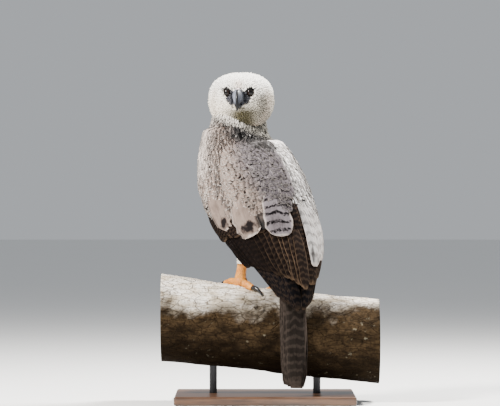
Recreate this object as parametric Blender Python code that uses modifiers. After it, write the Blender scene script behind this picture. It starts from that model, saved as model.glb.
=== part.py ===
"""A life-size harpy eagle, perched on a cut length of thick bough that a plain display stand holds.

World axes: +Z up, origin under the middle of the stand's base, and -Y is the side that shows the bird's back.
The bird is laid out in its own body axes: f forward, l to its left, u up. BODY_YAW turns f to world.
"""

import math

import bmesh
import bpy
import numpy as np

# Driving dimensions, in metres and degrees
BODY_YAW = 33.0
BODY_ORIGIN = (0.070, -0.120)
TOUCH_GAP = 0.0004
VANE_THICK = 0.0007

HEAD_CENTRE = (-0.0696, 0.036, 0.880)
HEAD_YAW = 7.0
HEAD_PITCH = 8.0
HEAD_HALF_WIDTH = 0.0945
HEAD_RISE = 0.074
HEAD_DROP = 0.090
HEAD_FRONT = 0.066
HEAD_BACK = 0.092
HEAD_ROUNDNESS = 2.35

EYE_RADIUS = 0.0118
EYE_SIDE = 0.0330
EYE_FORWARD = 0.0540
EYE_UP = 0.0235
EYE_SPLAY = 24.0
LID_RADIUS = 0.0022

LIP_LINE = (
    (0.0500, 0.012, -0.0065),
    (0.0585, 0.021, -0.0070),
    (0.0560, 0.028, -0.0060),
    (0.0500, 0.034, -0.0030),
)
LIP_RADII = (0.0026, 0.0030, 0.0030, 0.0028, 0.0024, 0.0014)
NOSTRIL = (0.0665, 0.0170, 0.0130)
NOSTRIL_RADIUS = 0.0030
CREST_LENGTH = 0.105
CREST_WIDTH = 0.013
CREST_DROOP = 0.018

# Where each foot stands and each ankle is, in body axes
FOOT_LEFT = (0.171, 0.0573)
FOOT_RIGHT = (0.140, -0.072)
ANKLE_LEFT = (0.145, 0.063, 0.424)
ANKLE_RIGHT = (0.127, -0.063, 0.424)
TARSUS_RADIUS = 0.0145
TARSUS_PROFILE = (1.14, 1.02, 0.96, 0.98, 1.06, 1.10)
PALM_RADIUS = 0.021
PALM_LIFT = 0.012
TOE_RADIUS = 0.0115
TOE_PROFILE = (1.10, 1.08, 0.98, 1.02, 0.90, 0.84)
TOE_SINK = 0.0020
CLAW_RADII = (0.0076, 0.0071, 0.0062, 0.0051, 0.0038, 0.0023, 0.0006)
CLAW_BENDS = ((-0.09, 0.02), (0.30, 0.10), (0.62, 0.00), (0.80, -0.21))

BOUGH_LOW_X = -0.300
BOUGH_HIGH_X = 0.330
BOUGH_RADIUS = 0.1195
BOUGH_HEIGHT = 0.2080
BOUGH_SLOPE = -0.115
BOUGH_BEND = 0.030

BASE_LENGTH = 0.520
BASE_DEPTH = 0.400
BASE_THICK = 0.025
BASE_ROUND = 0.006
ROD_RADIUS = 0.011
ROD_SPACING = 0.300
ROD_SOCKET = 0.025

# Neck and trunk, from inside the head to the vent: f, l, u, half width, depths to the back and to the breast
TRUNK = np.array([
    (0.2150, 0.027, 0.885, 0.070, 0.052, 0.066),
    (0.2200, 0.028, 0.815, 0.086, 0.056, 0.077),
    (0.2220, 0.028, 0.765, 0.095, 0.079, 0.089),
    (0.2150, 0.022, 0.715, 0.116, 0.097, 0.106),
    (0.1900, 0.014, 0.655, 0.140, 0.107, 0.116),
    (0.1550, 0.008, 0.585, 0.149, 0.109, 0.119),
    (0.1150, 0.003, 0.515, 0.139, 0.099, 0.108),
    (0.0750, 0.000, 0.457, 0.110, 0.076, 0.074),
    (0.0420, 0.000, 0.420, 0.070, 0.049, 0.044),
    (0.0230, 0.000, 0.399, 0.030, 0.024, 0.022),
])
NECK_ENDS_AT = 2.45

# What the folded wings lie on, from above the shoulder to their tips: f, l, u, half width, depth to the back
WING_BED = np.array([
    (0.2210, 0.028, 0.800, 0.086, 0.080),
    (0.2220, 0.026, 0.755, 0.098, 0.088),
    (0.2150, 0.022, 0.715, 0.121, 0.100),
    (0.1900, 0.014, 0.655, 0.145, 0.110),
    (0.1550, 0.008, 0.585, 0.154, 0.112),
    (0.1150, 0.003, 0.515, 0.146, 0.103),
    (0.0750, 0.000, 0.455, 0.130, 0.086),
    (0.0380, 0.000, 0.400, 0.110, 0.068),
    (0.0100, 0.000, 0.345, 0.085, 0.054),
    (-0.0080, 0.000, 0.290, 0.064, 0.043),
    (-0.0160, 0.000, 0.235, 0.050, 0.036),
])

# Tail, from its root to its tip: f, l, u, and the yaw that its feathers' flat side has
TAIL_LINE = np.array([
    (0.0200, 0.000, 0.440, 33.0),
    (0.0040, 0.000, 0.400, 33.0),
    (-0.0120, 0.000, 0.345, 30.0),
    (-0.0230, 0.001, 0.290, 27.0),
    (-0.0345, 0.004, 0.205, 23.0),
    (-0.0420, 0.008, 0.125, 20.0),
    (-0.0480, 0.012, 0.045, 18.0),
])


def body_axes(yaw=BODY_YAW):
    """The world directions of f, l and u."""
    a = math.radians(yaw)
    forward = np.array((-math.sin(a), math.cos(a), 0.0))
    left = np.array((-math.cos(a), -math.sin(a), 0.0))
    return forward, left, np.array((0.0, 0.0, 1.0))


FORWARD, LEFT, UP = body_axes()


def world(f, l, u):
    """A point in body axes, as world coordinates."""
    return np.array((*BODY_ORIGIN, 0.0)) + f * FORWARD + l * LEFT + u * UP


def unit(v):
    v = np.asarray(v, float)
    return v / np.maximum(np.linalg.norm(v, axis=-1, keepdims=True), 1e-12)


def along(stations, s):
    """Catmull-Rom interpolation of rows of numbers at a fractional row."""
    last = len(stations) - 1
    s = min(max(s, 0.0), last)
    i = min(int(s), last - 1)
    t = s - i
    p1, p2 = stations[i], stations[i + 1]
    p0 = stations[i - 1] if i > 0 else 2 * p1 - p2
    p3 = stations[i + 2] if i + 2 <= last else 2 * p2 - p1
    return 0.5 * (2 * p1 + (p2 - p0) * t + (2 * p0 - 5 * p1 + 4 * p2 - p3) * t * t
                  + (3 * p1 - p0 - 3 * p2 + p3) * t ** 3)


def section_axes(stations, s):
    """Centre, left and dorsal directions of a trunk or wing-bed section, in world axes."""
    row = along(stations, s)
    step = 0.05
    change = along(stations, s + step) - along(stations, s - step)
    down = unit(change[0] * FORWARD + change[1] * LEFT + change[2] * UP)
    dorsal = unit(np.cross(LEFT, down))
    return row, world(*row[:3]), unit(np.cross(down, dorsal)), dorsal


def on_section(stations, s, theta, height=0.0):
    """A point on the loft. theta is 0 at the middle of the back and 90 on the bird's left side."""
    row, centre, left, dorsal = section_axes(stations, s)
    a = math.radians(theta)
    across, out = math.sin(a), math.cos(a)
    depth = row[4] if out >= 0 or len(row) < 6 else row[5]
    normal = unit(left * across / row[3] + dorsal * out / depth)
    return centre + left * row[3] * across + dorsal * depth * out + normal * height, normal


def clear_scene():
    for obj in list(bpy.data.objects):
        bpy.data.objects.remove(obj, do_unlink=True)


def new_collection(name):
    made = bpy.data.collections.new(name)
    bpy.context.scene.collection.children.link(made)
    return made


def material(name, colour, roughness, metallic=0.0):
    made = bpy.data.materials.new(name)
    made.use_nodes = True
    shader = made.node_tree.nodes["Principled BSDF"]
    shader.inputs["Base Color"].default_value = (*colour, 1.0)
    shader.inputs["Roughness"].default_value = roughness
    shader.inputs["Metallic"].default_value = metallic
    return made


def mesh_object(name, points, faces, collection):
    """A mesh object whose faces point out."""
    mesh = bpy.data.meshes.new(name)
    mesh.from_pydata([tuple(map(float, p)) for p in points], [], faces)
    shape = bmesh.new()
    shape.from_mesh(mesh)
    bmesh.ops.recalc_face_normals(shape, faces=shape.faces)
    shape.to_mesh(mesh)
    shape.free()
    obj = bpy.data.objects.new(name, mesh)
    collection.objects.link(obj)
    return obj


def take(obj, name, collection):
    """Names the newly added object, moves it to the collection and puts its place into its mesh."""
    obj.name = name
    obj.data.transform(obj.matrix_world)
    obj.matrix_world.identity()
    for owner in list(obj.users_collection):
        owner.objects.unlink(obj)
    collection.objects.link(obj)
    return obj


def sphere(name, centre, radius, collection, segments=16, rings=9):
    bpy.ops.mesh.primitive_uv_sphere_add(segments=segments, ring_count=rings, radius=radius, location=centre)
    return take(bpy.context.object, name, collection)


def cylinder(name, x, low, high, radius, collection):
    """An upright cylinder over y = 0."""
    middle = (x, 0.0, (low + high) / 2)
    bpy.ops.mesh.primitive_cylinder_add(vertices=24, radius=radius, depth=high - low, location=middle)
    return take(bpy.context.object, name, collection)


def box(name, length, depth, height, collection):
    """A box that stands on the floor over the origin."""
    bpy.ops.mesh.primitive_cube_add(size=1.0)
    obj = take(bpy.context.object, name, collection)
    for vertex in obj.data.vertices:
        x, y, z = vertex.co
        vertex.co = (x * length, y * depth, (z + 0.5) * height)
    return obj


def loft(name, rings, collection):
    """A closed solid through rings of equal size, with a fan of triangles over each end. The sides are split
    into triangles the same way in every loft, so that a piece and its cutter stay parallel."""
    rings = [np.asarray(ring) for ring in rings]
    count = len(rings[0])
    points = [p for ring in rings for p in ring]
    faces = []
    for i in range(len(rings) - 1):
        for j in range(count):
            k = (j + 1) % count
            a, b, c, d = i * count + j, i * count + k, (i + 1) * count + k, (i + 1) * count + j
            faces += [(a, b, c), (a, c, d)]
    for ring_index in (0, len(rings) - 1):
        centre = len(points)
        points.append(rings[ring_index].mean(axis=0))
        first = ring_index * count
        faces += [(first + j, first + (j + 1) % count, centre) for j in range(count)]
    return mesh_object(name, points, faces, collection)


def slab(name, outer, inner, collection):
    """A closed solid between two like grids of points, whose faces are split into triangles the same way."""
    rows, columns = outer.shape[:2]
    size = rows * columns
    points = list(outer.reshape(-1, 3)) + list(inner.reshape(-1, 3))
    faces = []
    for i in range(rows - 1):
        for j in range(columns - 1):
            a, b = i * columns + j, i * columns + j + 1
            c, d = b + columns, a + columns
            faces += [(a, b, c), (a, c, d), (a + size, c + size, b + size), (a + size, d + size, c + size)]
    rim = [j for j in range(columns)]
    rim += [i * columns + columns - 1 for i in range(1, rows)]
    rim += [(rows - 1) * columns + j for j in range(columns - 2, -1, -1)]
    rim += [i * columns for i in range(rows - 2, 0, -1)]
    for a, b in zip(rim, rim[1:] + rim[:1]):
        faces += [(a, a + size, b + size), (a, b + size, b)]
    return mesh_object(name, points, faces, collection)


def tube(name, path, radii, sides, collection):
    """A tapering solid of round section along a path."""
    path = np.asarray(path, float)
    rings = []
    for i, centre in enumerate(path):
        heading = unit(path[min(i + 1, len(path) - 1)] - path[max(i - 1, 0)])
        reference = UP if abs(heading[2]) < 0.9 else FORWARD
        side = unit(np.cross(heading, reference))
        rise = np.cross(side, heading)
        turn = np.arange(sides) * 2 * math.pi / sides
        rings.append([centre + radii[i] * (math.cos(t) * side + math.sin(t) * rise) for t in turn])
    return loft(name, rings, collection)


def curved(points, count):
    """A smooth line of count points through a few given ones."""
    stations = np.asarray(points, float)
    return [along(stations, s) for s in np.linspace(0, len(stations) - 1, count)]


def evaluated_mesh(obj):
    graph = bpy.context.evaluated_depsgraph_get()
    return bpy.data.meshes.new_from_object(obj.evaluated_get(graph))


def bake_modifiers(obj):
    bpy.context.view_layer.update()
    made = evaluated_mesh(obj)
    obj.modifiers.clear()
    obj.data = made


def keep_largest(obj):
    """Drops every loose surface but the one that encloses most."""
    shape = bmesh.new()
    shape.from_mesh(obj.data)
    shape.faces.ensure_lookup_table()
    unseen = set(shape.faces)
    groups = []
    while unseen:
        start = unseen.pop()
        group, front = [start], [start]
        while front:
            face = front.pop()
            for edge in face.edges:
                for other in edge.link_faces:
                    if other in unseen:
                        unseen.discard(other)
                        group.append(other)
                        front.append(other)
        groups.append(group)

    def volume(group):
        total = 0.0
        for face in group:
            corners = [v.co for v in face.verts]
            for k in range(1, len(corners) - 1):
                total += corners[0].dot(corners[k].cross(corners[k + 1]))
        return abs(total)

    groups.sort(key=volume, reverse=True)
    dropped = [face for group in groups[1:] for face in group]
    bmesh.ops.delete(shape, geom=dropped, context="FACES")
    shape.to_mesh(obj.data)
    shape.free()


def unite(name, pieces, collection):
    """One solid from overlapping closed pieces."""
    first, others = pieces[0], pieces[1:]
    if others:
        joined = bpy.data.collections.new(name + "_pieces")
        bpy.context.scene.collection.children.link(joined)
        for piece in others:
            joined.objects.link(piece)
        union = first.modifiers.new("union", "BOOLEAN")
        union.operation = "UNION"
        union.operand_type = "COLLECTION"
        union.collection = joined
        union.solver = "MANIFOLD"
        bake_modifiers(first)
        for piece in others:
            bpy.data.objects.remove(piece, do_unlink=True)
        bpy.data.collections.remove(joined)
        keep_largest(first)
    first.name = name
    return first


def cut(obj, cutter, remove_cutter=False):
    """Takes the cutter's space out of a solid and keeps its largest body."""
    difference = obj.modifiers.new("difference", "BOOLEAN")
    difference.operation = "DIFFERENCE"
    difference.object = cutter
    difference.solver = "MANIFOLD"
    bake_modifiers(obj)
    keep_largest(obj)
    if remove_cutter:
        bpy.data.objects.remove(cutter, do_unlink=True)


def finish(obj, look, smooth=True):
    obj.data.materials.clear()
    obj.data.materials.append(look)
    if smooth:
        obj.data.shade_smooth()
        obj.data.set_sharp_from_angle(angle=math.radians(40))
    return obj


# Trunk, neck and head

def trunk_rings(first, last, count, sides, grow=0.0):
    rings = []
    for s in np.linspace(first, last, count):
        rings.append([on_section(TRUNK, s, 360.0 * j / sides, grow)[0] for j in range(sides)])
    return rings


def make_trunk(collection, grow=0.0, name="torso"):
    end = len(TRUNK) - 1.0
    return loft(name, trunk_rings(NECK_ENDS_AT + 0.006, end, 13, 24, grow), collection)


def make_neck(collection, grow=0.0, name="neck"):
    return loft(name, trunk_rings(0.3, NECK_ENDS_AT, 6, 24, grow), collection)


def head_axes():
    yaw, pitch = math.radians(HEAD_YAW), math.radians(HEAD_PITCH)
    level = np.array((-math.sin(yaw), -math.cos(yaw), 0.0))
    left = np.array((math.cos(yaw), -math.sin(yaw), 0.0))
    forward = level * math.cos(pitch) - UP * math.sin(pitch)
    return forward, left, np.cross(forward, left)


HEAD_FORWARD, HEAD_LEFT, HEAD_UP = head_axes()


def in_head(f, l, u):
    """A point in the head's own axes, as world coordinates."""
    return np.array(HEAD_CENTRE) + f * HEAD_FORWARD + l * HEAD_LEFT + u * HEAD_UP


def head_radius(d):
    """How far the head's surface lies from its centre, towards the direction d in head axes."""
    f, l, u = d
    half = (HEAD_FRONT if f > 0 else HEAD_BACK, HEAD_HALF_WIDTH, HEAD_RISE if u > 0 else HEAD_DROP)
    n = HEAD_ROUNDNESS
    radius = (abs(f / half[0]) ** n + abs(l / half[1]) ** n + abs(u / half[2]) ** n) ** (-1 / n)
    p = np.array(d) * radius
    for side in (-1, 1):
        eye = np.array((EYE_FORWARD, side * EYE_SIDE, EYE_UP))
        brow = np.array((EYE_FORWARD, side * EYE_SIDE, EYE_UP + 0.020))
        cheek = np.array((0.040, side * 0.062, -0.018))
        radius -= 0.0060 * math.exp(-np.sum((p - eye) ** 2) / 0.016 ** 2)
        radius += 0.0035 * math.exp(-np.sum((p - brow) ** 2) / 0.014 ** 2)
        radius += 0.0035 * math.exp(-np.sum((p - cheek) ** 2) / 0.026 ** 2)
    return radius


def make_head_shape(collection, grow=0.0, name="head"):
    bpy.ops.mesh.primitive_uv_sphere_add(segments=30, ring_count=17, radius=1.0)
    obj = take(bpy.context.object, name, collection)
    for vertex in obj.data.vertices:
        d = unit(np.array(vertex.co))
        vertex.co = in_head(*(d * (head_radius(d) + grow)))
    return obj


def eye_centre(side):
    return in_head(EYE_FORWARD - 0.004, side * EYE_SIDE, EYE_UP)


def eye_axis(side):
    a = math.radians(EYE_SPLAY)
    return unit(math.cos(a) * HEAD_FORWARD + side * math.sin(a) * HEAD_LEFT)


def lid_ring(side, collection):
    """Upper and lower lid as one thick ring round the eye, heavier above."""
    axis = eye_axis(side)
    across = unit(np.cross(axis, HEAD_UP))
    rise = np.cross(across, axis)
    count, sides = 14, 6
    points, faces = [], []
    for i in range(count):
        a = 2 * math.pi * i / count
        out = math.cos(a) * across + math.sin(a) * rise
        heavy = LID_RADIUS * (1.0 + 0.7 * max(0.0, math.sin(a)))
        centre = eye_centre(side) + axis * 0.0062 + out * (EYE_RADIUS * 0.86)
        for j in range(sides):
            b = 2 * math.pi * j / sides
            points.append(centre + heavy * (math.cos(b) * out + math.sin(b) * axis))
    for i in range(count):
        for j in range(sides):
            k, m = (i + 1) % count, (j + 1) % sides
            faces.append((i * sides + j, k * sides + j, k * sides + m, i * sides + m))
    return mesh_object("lid", points, faces, collection)


# Bill: culmen point, cutting-edge point (forward, up) and half width, from the face to the hook's tip
UPPER_BILL = np.array([
    (0.040, 0.0345, 0.038, -0.0060, 0.0175),
    (0.058, 0.0360, 0.056, -0.0065, 0.0170),
    (0.073, 0.0345, 0.069, -0.0075, 0.0150),
    (0.086, 0.0285, 0.079, -0.0085, 0.0130),
    (0.0960, 0.0170, 0.085, -0.0085, 0.0104),
    (0.1010, 0.0025, 0.088, -0.0115, 0.0078),
    (0.1010, -0.0125, 0.0905, -0.0180, 0.0050),
    (0.0970, -0.0265, 0.0935, -0.0270, 0.0016),
])
LOWER_BILL = np.array([
    (0.040, -0.0068, 0.040, -0.0200, 0.0140),
    (0.056, -0.0073, 0.056, -0.0200, 0.0130),
    (0.070, -0.0083, 0.069, -0.0195, 0.0105),
    (0.080, -0.0093, 0.079, -0.0175, 0.0070),
    (0.0845, -0.0110, 0.0840, -0.0145, 0.0025),
])
CERE_ENDS_AT = 2.0


def bill_rings(stations, first, last, count, sides, grow=0.0):
    rings = []
    for s in np.linspace(first, last, count):
        top_f, top_u, edge_f, edge_u, half = along(stations, s)
        middle = np.array(((top_f + edge_f) / 2, (top_u + edge_u) / 2))
        reach = np.array((top_f - edge_f, top_u - edge_u)) / 2
        length = np.linalg.norm(reach)
        reach = reach / length
        ring = []
        for j in range(sides):
            a = 2 * math.pi * j / sides
            f, u = middle + reach * (length + grow) * math.cos(a)
            ring.append(in_head(f, (half + grow) * math.sin(a), u))
        rings.append(ring)
    return rings


def make_bill(collection):
    """Cere with its two nostrils, upper bill with its hook, and lower bill."""
    end = len(UPPER_BILL) - 1
    cere = loft("cere", bill_rings(UPPER_BILL, 0.4, CERE_ENDS_AT, 5, 14, 0.0008), collection)
    for side in (-1, 1):
        forward, out, up = NOSTRIL
        hole = sphere("nostril", in_head(forward, side * out, up), NOSTRIL_RADIUS, collection, 10, 6)
        cut(cere, hole, remove_cutter=True)
    upper = loft("bill_upper", bill_rings(UPPER_BILL, CERE_ENDS_AT + 0.03, end, 9, 14), collection)
    lower = loft("bill_lower", bill_rings(LOWER_BILL, 0.4, len(LOWER_BILL) - 1, 6, 12), collection)
    gape_lift = loft("gape_cutter", bill_rings(UPPER_BILL, 0.0, end, 12, 16, 0.0012), collection)
    cut(lower, gape_lift, remove_cutter=True)
    return cere, upper, lower


def make_head(collection, neck):
    """Head with brows, lids, mouth corners and crest. The neck is cut clear of it."""
    pieces = [make_head_shape(collection)]
    pieces += [lid_ring(side, collection) for side in (-1, 1)]
    for side in (-1, 1):
        path = [in_head(f, side * l, u) for f, l, u in curved(LIP_LINE, len(LIP_RADII))]
        pieces.append(tube("lip", path, LIP_RADII, 6, collection))
    pieces += crest_vanes(collection)
    head = unite("head", pieces, collection)
    for side in (-1, 1):
        socket = sphere("socket", eye_centre(side), EYE_RADIUS + TOUCH_GAP, collection)
        cut(head, socket, remove_cutter=True)
    bill_ends = (
        (UPPER_BILL, 0.2, len(UPPER_BILL) - 1, 0.0010 + TOUCH_GAP),
        (LOWER_BILL, 0.2, len(LOWER_BILL) - 1, TOUCH_GAP),
    )
    for stations, first, last, grow in bill_ends:
        cutter = loft("bill_cutter", bill_rings(stations, first, last, 12, 16, grow), collection)
        cut(neck, cutter)
        cut(head, cutter, remove_cutter=True)
    shell = make_head_shape(collection, TOUCH_GAP, "head_cutter")
    cut(neck, shell, remove_cutter=True)
    return head


def feather_outline(v, root_width=0.34, tip_width=0.42):
    """Half width along a feather, as a share of its widest."""
    rise = min(1.0, root_width + (1 - root_width) * math.sin(min(v / 0.55, 1.0) * math.pi / 2))
    if v > 0.72:
        rise *= 1 - (1 - tip_width) * ((v - 0.72) / 0.28) ** 2.2
    return rise


def free_vane(root, heading, normal, length, half_width, droop, collection, rows=4, arch=0.12):
    """A vane that starts at a point, runs along heading and bends towards -normal by droop at its tip."""
    heading, normal = unit(heading), unit(normal)
    side = unit(np.cross(heading, normal))
    outer, inner = np.zeros((rows, 3, 3)), np.zeros((rows, 3, 3))
    for i, v in enumerate(np.linspace(0, 1, rows)):
        centre = np.asarray(root) + heading * length * v - normal * droop * v * v
        facing = unit(normal + heading * 2 * droop * v / length)
        width = half_width * feather_outline(v)
        for j, c in enumerate((-1.0, 0.0, 1.0)):
            p = centre + side * c * width - facing * arch * width * abs(c)
            outer[i, j] = p + facing * VANE_THICK / 2
            inner[i, j] = p - facing * VANE_THICK / 2
    return slab("crest", outer, inner, collection)


def crest_vanes(collection):
    """The long double crest, laid back from the rear of the crown, feather by feather."""
    vanes = []
    for row, (count, spread, lift, reach) in enumerate(((4, 58.0, 0.052, 0.80), (5, 76.0, 0.036, 1.0))):
        for k in range(count):
            share = (k + 0.5) / count * 2 - 1
            angle = math.radians(share * spread / 2)
            root = in_head(-0.040 - 0.020 * row, share * 0.050, lift + 0.006 - 0.010 * share * share)
            heading = (-math.cos(angle) * HEAD_FORWARD + math.sin(angle) * HEAD_LEFT
                       - (0.62 + 0.28 * row) * HEAD_UP)
            roll = math.radians(11.0)
            normal = math.cos(roll) * HEAD_UP + math.sin(roll) * HEAD_LEFT - 0.35 * HEAD_FORWARD
            normal = normal - unit(heading) * np.dot(normal, unit(heading))
            length = CREST_LENGTH * reach * (1 - 0.15 * share ** 2)
            vanes.append(free_vane(root, heading, normal, length, CREST_WIDTH, CREST_DROOP, collection))
    return vanes


# Wings

def bed_point(side, s, theta, height):
    """A point over the wing bed. side is 1 on the left, and -1 on the right, where the wing stands off."""
    if side < 0 and height > 0.0015:
        outward = min(1.0, max(0.0, (theta - 15.0) / 40.0))
        height += RIGHT_FLARE * outward * math.exp(-((s - 6.0) / 1.7) ** 2)
    return on_section(WING_BED, s, side * theta, height)


def bed_vane(side, root, tip, half_width, heights, roll, rows, collection):
    """A feather on the wing bed, from root (s, theta) to tip (s, theta), that follows the bed's curve."""
    outer, inner = np.zeros((rows, 3, 3)), np.zeros((rows, 3, 3))
    for i, v in enumerate(np.linspace(0, 1, rows)):
        s = root[0] + (tip[0] - root[0]) * v
        theta = root[1] + (tip[1] - root[1]) * v
        rise = heights[0] + (heights[1] - heights[0]) * min(1.0, v * 2.5)
        here, _ = bed_point(side, s, theta, rise)
        ahead, _ = bed_point(side, s, theta + 1.0, rise)
        per_degree = np.linalg.norm(ahead - here)
        width = half_width * feather_outline(v)
        for j, c in enumerate((-1.0, 0.0, 1.0)):
            height = rise + c * width * math.tan(math.radians(roll))
            p, normal = bed_point(side, s, theta + c * width / per_degree, height)
            outer[i, j] = p + normal * VANE_THICK / 2
            inner[i, j] = p - normal * VANE_THICK / 2
    return slab("vane", outer, inner, collection)


# The bed angle of each wing's edges at each bed station. The left wing lies over the right one along the gap
OUTER_EDGE = np.array([100.0, 114.0, 121.0, 122.0, 116.0, 102.0, 90.0, 86.0, 76.0, 68.0, 60.0])
RIGHT_EDGE = np.array([60.0, 68.0, 104.0, 116.0, 114.0, 102.0, 90.0, 86.0, 76.0, 68.0, 60.0])
GAP_ANGLE = np.array([8.0, 10.0, 11.0, 12.5, 15.5, 20.0, 27.0, 34.0, 40.0, 40.0, 40.0])
SHIELD_EDGE = 36.0
RIGHT_FLARE = 0.014

# The arm and hand under the feathers, by side: 1 is the left and -1 the right
CORE_STARTS = {1: 0.0, -1: 1.25}
CORE_END = 6.2
CORE_BASES = {1: 0.0040, -1: 0.0015}
CORE_RAMPS = {1: (0.12, 0.45), -1: (0.20, 1.00)}
EDGE_BULK = 0.0065
LEFT_BULK = 0.0240
SHOULDER_BULK = 0.0150
RIGHT_BULK = 0.0120


def at_station(values, s):
    return float(np.interp(s, np.arange(len(values)), values))


def core_edges(side, s):
    """The angles between which the arm and hand lie under the wing's feathers."""
    if side < 0:
        return at_station(GAP_ANGLE, s) + 4.0, at_station(RIGHT_EDGE, s)
    open_back = min(1.0, max(0.0, (s - 4.2) / 0.8))
    return SHIELD_EDGE - (SHIELD_EDGE + 6.0) * open_back, at_station(OUTER_EDGE, s)


def core_height(side, s, theta, share):
    """How high the arm and hand stand over the bed. share is how far along them s lies."""
    start, end = core_edges(side, s)
    c = (theta - start) / (end - start)
    head_start, ramp = CORE_RAMPS[side]
    round_top = math.sin(min(1.0, (s - CORE_STARTS[side] + head_start) / ramp) * math.pi / 2)
    round_sides = math.sin(math.pi * min(0.5, 0.10 + 0.7 * min(c, 1 - c)))
    thin_end = 1 - 0.70 * share ** 2
    bulk = LEFT_BULK + SHOULDER_BULK * max(0.0, 1 - s / 2) if side > 0 else RIGHT_BULK
    thick = EDGE_BULK + bulk * min(1.0, max(0.0, (theta - 40.0) / 40.0))
    return CORE_BASES[side] + thick * round_top * round_sides * thin_end


def wing_core(side, collection):
    """The arm and hand of the folded wing, one smooth form that its feathers root in."""
    rows, columns = 11, 7
    outer, inner = np.zeros((rows, columns, 3)), np.zeros((rows, columns, 3))
    for i, share in enumerate(np.linspace(0, 1, rows) ** 1.3):
        s = CORE_STARTS[side] + (CORE_END - CORE_STARTS[side]) * share
        for j, theta in enumerate(np.linspace(*core_edges(side, s), columns)):
            outer[i, j] = bed_point(side, s, theta, core_height(side, s, theta, share))[0]
            inner[i, j] = bed_point(side, s, theta, TOUCH_GAP + 0.0006)[0]
    return slab("core", outer, inner, collection)


def between(a, b, t):
    return tuple(x + (y - x) * t for x, y in zip(a, b))


# Feather tiers, from the bird's middle outwards. Places are a bed station and an angle; heights are those over
# the bed at the roots, at the first tip and at the last tip; angles and roll are in degrees
LEFT_TIERS = (
    dict(name="primary", count=6, roots=((5.6, 46.0), (5.2, 92.0)), tips=((9.5, 4.0), (8.9, 52.0)),
         half_width=0.019, heights=(0.0020, 0.0040, 0.0040), roll=6.0, rows=5),
    dict(name="secondary", count=8, roots=((5.4, -3.0), (4.6, 97.0)), tips=((8.6, -14.0), (7.2, 82.0)),
         half_width=0.024, heights=(0.0030, 0.0098, 0.0085), roll=6.0, rows=4),
    dict(name="greater_covert", count=6, roots=((4.4, 46.0), (3.7, 103.0)), tips=((6.0, 48.0), (5.5, 92.0)),
         half_width=0.024, heights=(0.0055, 0.0130, 0.0150), roll=6.0, rows=4),
    dict(name="median_covert", count=4, roots=((3.0, 66.0), (2.8, 106.0)), tips=((4.8, 60.0), (4.3, 100.0)),
         half_width=0.025, heights=(0.0110, 0.0200, 0.0215), roll=6.0, rows=4),
)
RIGHT_TIERS = (
    dict(name="primary", count=5, roots=((5.6, 50.0), (5.2, 92.0)), tips=((9.5, 14.0), (8.9, 58.0)),
         half_width=0.020, heights=(0.0012, 0.0018, 0.0022), roll=6.0, rows=5),
    dict(name="secondary", count=6, roots=((5.3, 30.0), (4.6, 96.0)), tips=((8.4, 36.0), (7.2, 84.0)),
         half_width=0.026, heights=(0.0030, 0.0054, 0.0085), roll=6.0, rows=4),
    dict(name="greater_covert", count=5, roots=((4.3, 38.0), (3.7, 102.0)), tips=((6.1, 43.0), (5.5, 92.0)),
         half_width=0.025, heights=(0.0045, 0.0105, 0.0120), roll=6.0, rows=4),
    dict(name="median_covert", count=4, roots=((3.0, 46.0), (2.8, 106.0)), tips=((4.9, 48.0), (4.3, 100.0)),
         half_width=0.026, heights=(0.0070, 0.0145, 0.0160), roll=6.0, rows=4),
)
SHIELD_TIERS = (
    dict(name="lower_scapular", count=6, roots=((3.4, -8.0), (3.3, 31.0)), tips=((6.15, -14.0), (6.0, 50.0)),
         half_width=0.030, heights=(0.0050, 0.0135, 0.0190), roll=5.0, rows=4),
    dict(name="upper_scapular", count=5, roots=((2.6, -7.0), (2.5, 30.0)), tips=((5.0, -12.0), (4.7, 46.0)),
         half_width=0.029, heights=(0.0055, 0.0185, 0.0230), roll=5.0, rows=4),
    dict(name="mantle", count=4, roots=((1.9, -5.0), (1.8, 28.0)), tips=((3.8, -8.0), (3.6, 34.0)),
         half_width=0.028, heights=(0.0050, 0.0225, 0.0250), roll=5.0, rows=4),
)


def tier_vanes(side, tiers, collection):
    vanes = []
    for tier in tiers:
        at_root, at_first, at_last = tier["heights"]
        for t in np.linspace(0, 1, tier["count"]):
            root, tip = between(*tier["roots"], t), between(*tier["tips"], t)
            heights = (at_root, at_first + (at_last - at_first) * t)
            vanes.append(bed_vane(side, root, tip, tier["half_width"], heights, tier["roll"], tier["rows"],
                                  collection))
    return vanes


def make_wing(side, name, tiers, collection):
    return unite(name, [wing_core(side, collection)] + tier_vanes(side, tiers, collection), collection)


SHIELD_FIRST = 1.25
SHIELD_LAST = 4.1
SHIELD_BASE = 0.003
SHIELD_BULK = 0.011


def make_shield(collection):
    """The shield of mantle and shoulder feathers, that lies over the inner edge of both wings."""
    rows, columns = 8, 6
    outer, inner = np.zeros((rows, columns, 3)), np.zeros((rows, columns, 3))
    for i, s in enumerate(np.linspace(SHIELD_FIRST, SHIELD_LAST, rows)):
        start, end = -at_station(GAP_ANGLE, s), SHIELD_EDGE - 3.0 - 8.0 * max(0.0, s - 3.2)
        round_top = math.sin(min(1.0, (i + 0.5) / 3) * math.pi / 2)
        for j, c in enumerate(np.linspace(0, 1, columns)):
            round_sides = math.sin(math.pi * min(0.5, 0.12 + 0.8 * min(c, 1 - c)))
            theta = start + (end - start) * c
            outer[i, j] = bed_point(1, s, theta, SHIELD_BASE + SHIELD_BULK * round_sides * round_top)[0]
            inner[i, j] = bed_point(1, s, theta, TOUCH_GAP + 0.0006)[0]
    core = slab("shield", outer, inner, collection)
    return unite("mantle", [core] + tier_vanes(1, SHIELD_TIERS, collection), collection)


# Tail

TAIL_FEATHERS = 12
TAIL_HALF_WIDTH = 0.031
TAIL_FAN = 0.0150
TAIL_LAYER = 0.0015
TAIL_ARCH = 2.0
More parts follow.
